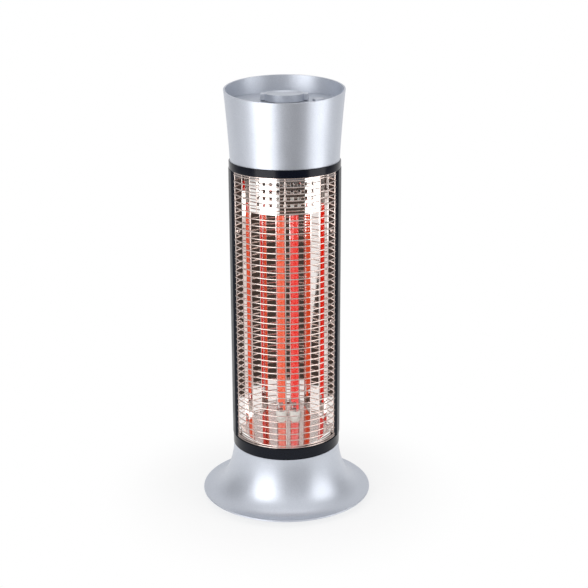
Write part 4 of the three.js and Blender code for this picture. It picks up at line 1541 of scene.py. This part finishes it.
@dataclass
class Head:
    """The flared head, cut off at a slant, with its panel, dial and button."""

    foot_radius: float = 0.0778
    rim_radius: float = 0.0852
    rim_rise: float = 0.0996
    rim_tilt: float = math.radians(5.9)
    flare_share: float = 1.3
    wall: float = 0.0025
    steps: int = 26
    ledge_width: float = 0.004
    ledge_height: float = 0.003
    panel_bottom: float = 0.592
    panel_top: float = 0.5945
    spindle_hole: float = 0.004
    button_x: float = 0.048
    button_radius: float = 0.0088
    button_flange: float = 0.0102
    dial_radius: float = 0.028
    dial_dish: float = 0.002
    dial_rim: float = 0.002
    dial_slope: float = 0.0025
    dial_hollow: Profile = ((0.0, 0.0), (0.35, 0.55), (0.7, 0.88), (1.0, 1.0))
    dial_bore: float = 0.0033
    dial_bore_depth: float = 0.0053
    lug_reach: float = 0.0335
    lug_half: float = 0.006
    lug_root: float = 0.003
    lug_round: float = 0.0012
    groove_out: float = 0.0085
    groove: Profile = ((0.0, 0.0), (0.0006, 0.0005), (0.0012, 0.0))
    flange_low: float = 0.5882
    flange_top: float = 0.5917
    crown: Profile = (
        (0.0, 0.0011), (0.0003, 0.0005), (0.0009, 0.0001), (0.0016, 0.0), (0.003, 0.00015),
    )
    dimple_radius: float = 0.003
    dimple_depth: float = 0.0007
    gap: float = 0.0003

    def radius_at(self, height: float, at: Levels) -> float:
        """Gives the head's outer radius at a height."""
        rise = max((height - at.head_bottom) / self.rim_rise, 0.0)
        return self.foot_radius + (self.rim_radius - self.foot_radius) * rise**self.flare_share

    def build_shell(self, at: Levels) -> Piece:
        """Spins the flared wall and cuts it off at the slanted rim."""
        centre = at.head_bottom + self.rim_rise
        top = centre + self.rim_radius * math.tan(self.rim_tilt) + OVERRUN
        rise = top - at.head_bottom
        levels = [at.head_bottom + rise * step / self.steps for step in range(self.steps + 1)]
        ledge_bottom = self.panel_bottom - self.ledge_height
        above = [z for z in reversed(levels) if z > self.panel_bottom]
        below = [z for z in reversed(levels) if z < ledge_bottom]

        def inside(height: float) -> float:
            """Gives the inner radius at a height."""
            return self.radius_at(height, at) - self.wall

        ledge = inside(self.panel_bottom) - self.ledge_width
        outline = [
            *[(self.radius_at(z, at), z) for z in levels], *[(inside(z), z) for z in above],
            (inside(self.panel_bottom), self.panel_bottom), (ledge, self.panel_bottom),
            (ledge, ledge_bottom), (inside(ledge_bottom), ledge_bottom),
            *[(inside(z), z) for z in below],
        ]
        shell = lathe("head_shell" + FINE, outline, Segments.LARGE)
        slant = Vector((0.0, -math.sin(self.rim_tilt), math.cos(self.rim_tilt)))
        cut_off(shell, Vector((0.0, 0.0, centre)), slant)
        soften(shell, Rounding.RIM, 3)
        return shell

    def build_panel(self, at: Levels) -> Piece:
        """Makes the round panel in the bowl with its two holes."""
        radius = self.radius_at(self.panel_bottom, at) - self.wall - self.gap
        hole, bottom, top = self.spindle_hole, self.panel_bottom, self.panel_top
        outline = [
            (hole, bottom), (radius, bottom), (radius, top),
            *corners_at(self.groove, self.dial_radius + self.groove_out, top), (hole, top),
        ]
        panel = lathe("control_panel" + FINE, outline, Segments.LARGE)
        low, high = (self.button_x, 0.0, bottom - OVERRUN), (self.button_x, 0.0, top + OVERRUN)
        hole = self.button_radius + self.gap
        cut(panel, [rod("button_hole", hole, low, high, Segments.MIDDLE)])
        soften(panel, Rounding.SLIGHT)
        return panel

    def build_dial(self) -> Piece:
        """Makes the dished dial with its two lugs."""
        low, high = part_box("power_dial")
        bottom, top = low.z, high.z
        bore_top = bottom + self.dial_bore_depth
        edge, slope, dish = self.dial_radius - self.dial_rim, self.dial_slope, self.dial_dish
        outline = [
            (0.0, bore_top), (self.dial_bore, bore_top), (self.dial_bore, bottom),
            (self.dial_radius, bottom), (self.dial_radius, top),
            *[(edge - slope * inward, top - dish * down) for inward, down in self.dial_hollow],
            (0.0, top - dish),
        ]
        dial = lathe("power_dial" + FINE, outline, Segments.LARGE)
        lugs = []
        for sign in (-1, 1):
            start, end = sorted((sign * (self.dial_radius - self.lug_root), sign * self.lug_reach))
            lug = block("lug", (start, -self.lug_half, bottom), (end, self.lug_half, top))
            bevel(lug, self.lug_round, segments=3, angle=0.6)
            lugs.append(lug)
        weld(dial, lugs)
        soften(dial, Rounding.SMALL, angle=0.75)
        return dial

    def build_button(self) -> Piece:
        """Makes the push button with its rounded crown and the flange under the panel."""
        low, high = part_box("swing_button")
        radius, flange, dimple = self.button_radius, self.button_flange, high.z - self.dimple_depth
        outline = [
            (0.0, low.z), (radius, low.z), (radius, self.flange_low), (flange, self.flange_low),
            (flange, self.flange_top), (radius, self.flange_top),
            *corners_at(self.crown, radius, high.z), (self.dimple_radius, dimple), (0.0, dimple),
        ]
        button = lathe("swing_button" + FINE, outline, Segments.MIDDLE, (self.button_x, 0.0))
        shade(button)
        return button

    def dress(self, at: Levels) -> None:
        """Builds, dresses and places the head's pieces."""
        mount(self.build_shell(at), Body.COLUMN, "silver_plastic", SILVER, "head_shell")
        mount(self.build_panel(at), Body.COLUMN, "silver_plastic", SILVER, "control_panel")
        mount(self.build_dial(), Body.DIAL, "silver_plastic", SILVER, "power_dial")
        mount(self.build_button(), Body.BUTTON, "silver_plastic", SILVER, "swing_button")


# ----------------------------------------------------------------------------
# Inner pieces that keep their shape
# ----------------------------------------------------------------------------

KEPT_NODES: dict[Finish, tuple[str, ...]] = {
    ZINC: (
        "hub_screw_1", "hub_screw_2", "hub_screw_3", "thrust_washer", "swing_arm", "swing_motor",
        "motor_bracket", "bracket_screw_left", "bracket_screw_right", "lower_cap_bracket",
        "upper_cap_bracket", "switch_spindle",
    ),
    IRON: ("ballast_ring",),
    DARK_PLASTIC: ("tip_switch", "swivel_hub", "rotary_switch", "button_switch"),
    WHITE_PLASTIC: ("swivel_bush", "drive_crank", "terminal_block", "tip_plunger"),
}


def dress_kept_nodes(nodes: dict[str, Piece]) -> None:
    """Gives the part's own nodes that stay their finishes.

    Args:
        nodes: The part's nodes by name.
    """
    for finish, names in KEPT_NODES.items():
        for name in names:
            for slot in nodes[name].material_slots:
                slot.material = material_of(finish)
        log.info("%s on %d nodes of the part", finish.name, len(names))


# ----------------------------------------------------------------------------
# Studio
# ----------------------------------------------------------------------------


@dataclass(frozen=True)
class SoftBox:
    """A large soft lamp that stands round the object and faces it."""

    name: str
    azimuth: float
    distance: float
    width: float
    low: float
    high: float
    radiance: float

    def place(self) -> None:
        """Puts the lamp up."""
        middle = (self.low + self.high) / 2
        holder = area_lamp(self.name, self.width, self.high - self.low, self.radiance)
        holder.location = (*arc(self.distance, self.azimuth, self.azimuth, 1)[0], middle)
        holder.rotation_euler = (QUARTER_TURN, 0, self.azimuth)


def area_lamp(name: str, width: float, depth: float, radiance: float) -> Piece:
    """Makes a rectangular lamp that faces down.

    Args:
        name: Name of the lamp.
        width: Its width.
        depth: Its depth.
        radiance: How bright it looks, where 1 is white.

    Returns:
        The lamp's object.
    """
    lamp = bpy.data.lights.new(name, "AREA")
    lamp.shape = "RECTANGLE"
    lamp.size, lamp.size_y = width, depth
    lamp.energy = radiance * math.pi * width * depth
    return linked(name, lamp)


def linked(name: str, data: bpy.types.ID) -> Piece:
    """Makes an object of a lamp or a camera and links it to the scene."""
    holder = bpy.data.objects.new(name, data)
    bpy.context.scene.collection.objects.link(holder)
    return holder


@dataclass
class Studio:
    """Camera, lamps, pale floor, white background, and the dark card and grey tent of painted
    reflections.
    """

    lens: float = 76.13
    sensor: float = 36.0
    camera_back: float = 1.7337
    camera_height: float = 0.8462
    pitch: float = math.radians(17.11)
    roll: float = math.radians(-0.33)
    shift: float = 0.01437
    boxes: tuple[SoftBox, ...] = (
        SoftBox("left_box", math.radians(-40.0), 1.25, 0.97, 0.06, 1.00, 3.1),
        SoftBox("right_box", math.radians(68.0), 1.25, 0.88, 0.12, 0.94, 2.3),
    )
    top_size: Pair = (1.6, 1.2)
    top_place: Place = (0.0, 0.1, 2.3)
    top_radiance: float = 0.75
    floor_radius: float = 6.0
    floor_drop: float = 0.0002
    floor_sides: int = 96
    floor_tone: Colour = (0.94, 0.94, 0.94)
    fade_start: float = 0.12
    fade_end: float = 0.30
    fade_least: float = 0.75
    fill: float = 0.55
    card_near: float = 0.43
    card_far: float = 2.5
    card_from: float = math.radians(-14.0)
    card_to: float = math.radians(51.0)
    card_lift: float = 0.004
    # Painted dark reflection: the warm dark tone that the mirror sheets show in front, standing in
    # for shade.
    card_tone: Colour = (0.060, 0.044, 0.037)
    tent_radius: float = 2.4
    round_steps: int = 24
    tent_dim: float = 0.6
    tent_bright: float = 2.2
    tent_lean: float = -0.2
    tent_back: float = 1.12
    # Painted reflection tones of the tent: darker near the floor in front, lighter overhead and at
    # the back.
    tent_low: Colour = (0.24, 0.24, 0.25)
    tent_high: Colour = (0.88, 0.88, 0.89)

    def place_camera(self) -> None:
        """Puts the camera at the photograph's place."""
        camera = bpy.data.cameras.new("camera")
        camera.lens = self.lens
        camera.sensor_width = self.sensor
        camera.shift_x = self.shift
        holder = linked("camera", camera)
        holder.location = (0, -self.camera_back, self.camera_height)
        holder.rotation_mode = "QUATERNION"
        level = Quaternion((1, 0, 0), QUARTER_TURN - self.pitch)
        holder.rotation_quaternion = level @ Quaternion(UP, self.roll)
        bpy.context.scene.camera = holder

    def place_lamps(self) -> None:
        """Puts the soft boxes and the top light up."""
        for box in self.boxes:
            box.place()
        area_lamp("top_light", *self.top_size, self.top_radiance).location = self.top_place

    def place_floor(self) -> None:
        """Lays the pale floor, which fades into the background away from the object."""
        deselect()
        bpy.ops.mesh.primitive_circle_add(
            vertices=self.floor_sides,
            radius=self.floor_radius,
            fill_type="NGON",
            location=(0.0, 0.0, -self.floor_drop),
        )
        floor = settle(named("floor"))
        recipe = Recipe("pale_floor")
        inputs = {0: recipe.place}
        length = recipe.node("ShaderNodeVectorMath", {"operation": "LENGTH"}, inputs)
        inputs = {
            "Value": length.outputs["Value"],
            "From Min": self.fade_start,
            "From Max": self.fade_end,
            "To Min": self.fade_least,
        }
        fade = recipe.node("ShaderNodeMapRange", {"interpolation_type": "SMOOTHSTEP"}, inputs)
        share = recipe.combined("MULTIPLY", fade.outputs["Result"], recipe.clear_ray())
        matt = recipe.node("ShaderNodeBsdfDiffuse", inputs={"Color": (*self.floor_tone, 1.0)})
        white = recipe.node("ShaderNodeEmission").outputs["Emission"]
        inputs = {"Fac": share, 1: matt.outputs["BSDF"], 2: white}
        mix = recipe.node("ShaderNodeMixShader", inputs=inputs)
        recipe.end(mix.outputs["Shader"])
        floor.data.materials.append(recipe.material)

    def stand_card(self, made: Piece, low: Colour, high: Colour) -> None:
        """Gives a card its plain tones and shows it to glossy surfaces only, as a painted
        reflection.

        Args:
            made: The card.
            low: Its painted reflection tone near the floor, where 1 is white.
            high: Its painted reflection tone overhead and at the back.
        """
        recipe = Recipe(made.name)
        heights = []
        for slope in ((0.0, self.tent_lean, 1.0), (0.0, self.tent_back, 0.0)):
            inputs = {0: recipe.place, 1: slope}
            leaning = recipe.node("ShaderNodeVectorMath", {"operation": "DOT_PRODUCT"}, inputs)
            heights.append(leaning.outputs["Value"])
        height = recipe.combined("MAXIMUM", *heights)
        inputs = {"Value": height, "From Min": self.tent_dim, "From Max": self.tent_bright}
        rise = recipe.node("ShaderNodeMapRange", {"interpolation_type": "SMOOTHSTEP"}, inputs)
        tone = recipe.ramp(rise.outputs["Result"], low, high, 0.0, 1.0)
        plain = recipe.node("ShaderNodeEmission", inputs={"Color": tone})
        recipe.end(plain.outputs["Emission"])
        made.data.materials.append(recipe.material)
        for kind in ("camera", "diffuse", "shadow", "transmission"):
            setattr(made, f"visible_{kind}", False)

    def place_cards(self) -> None:
        """Lays the dark card in front and raises the grey tent: painted reflections that only
        metal and gloss show.
        """
        lift = self.card_lift
        near = arc(self.card_near, self.card_from, self.card_to, self.round_steps)
        card = trace("painted_reflection_card", [(x, y, lift) for x, y in near])
        bpy.ops.mesh.select_mode(type="EDGE")
        bpy.ops.mesh.select_all(action="SELECT")
        grow = self.card_far / self.card_near
        bpy.ops.mesh.extrude_region_move()
        bpy.ops.transform.resize(value=(grow, grow, 1), center_override=(0, 0, lift))
        leave_edit()
        # The card is a painted dark reflection: one warm dark tone, seen only by glossy rays.
        self.stand_card(card, self.card_tone, self.card_tone)
        rib = []
        for step in range(self.round_steps + 1):
            rise = QUARTER_TURN * step / self.round_steps
            reach = self.tent_radius * math.cos(rise)
            rib.append((0.0, reach, lift + self.tent_radius * math.sin(rise)))
        tent = trace("painted_reflection_tent", rib)
        bpy.ops.mesh.select_all(action="SELECT")
        bpy.ops.mesh.spin(steps=self.round_steps, angle=WHOLE_TURN, center=ORIGIN, axis=DOWN)
        clean(outward=False)
        leave_edit()
        # The tent is a painted reflection: dark near the floor at the front, light overhead and at
        # the back.
        self.stand_card(tent, self.tent_low, self.tent_high)

    def set_background(self) -> None:
        """Makes the background white where it shows, and a plain fill for the rest."""
        scene = bpy.context.scene
        world = bpy.data.worlds.new("studio")
        scene.world = world
        world.use_nodes = True
        wiring = Wiring(world.node_tree)
        inputs = {"Value": wiring.clear_ray(), "To Min": self.fill, "To Max": 1.0}
        strength = wiring.node("ShaderNodeMapRange", inputs=inputs).outputs["Result"]
        inputs = {"Color": (1.0, 1.0, 1.0, 1.0), "Strength": strength}
        white = wiring.node("ShaderNodeBackground", inputs=inputs)
        inputs = {"Surface": white.outputs["Background"]}
        wiring.node("ShaderNodeOutputWorld", inputs=inputs)
        scene.view_settings.view_transform = "Standard"

    def build(self) -> None:
        """Sets the whole studio up."""
        self.place_camera()
        self.place_lamps()
        self.place_floor()
        self.place_cards()
        self.set_background()


def main() -> None:
    """Loads the part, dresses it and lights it."""
    logging.basicConfig(level=logging.INFO, format="%(name)s: %(message)s")
    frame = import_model()
    levels = Levels()
    dress_kept_nodes(frame["nodes"])
    BaseFoot().dress()
    BlackRings().dress(levels)
    RearHousing().dress(levels)
    MirrorChamber().dress(levels)
    CarbonTubes().dress()
    WireGrille().dress(levels)
    Head().dress(levels)
    Studio().build()
    deselect()


if __name__ == "__main__":
    main()
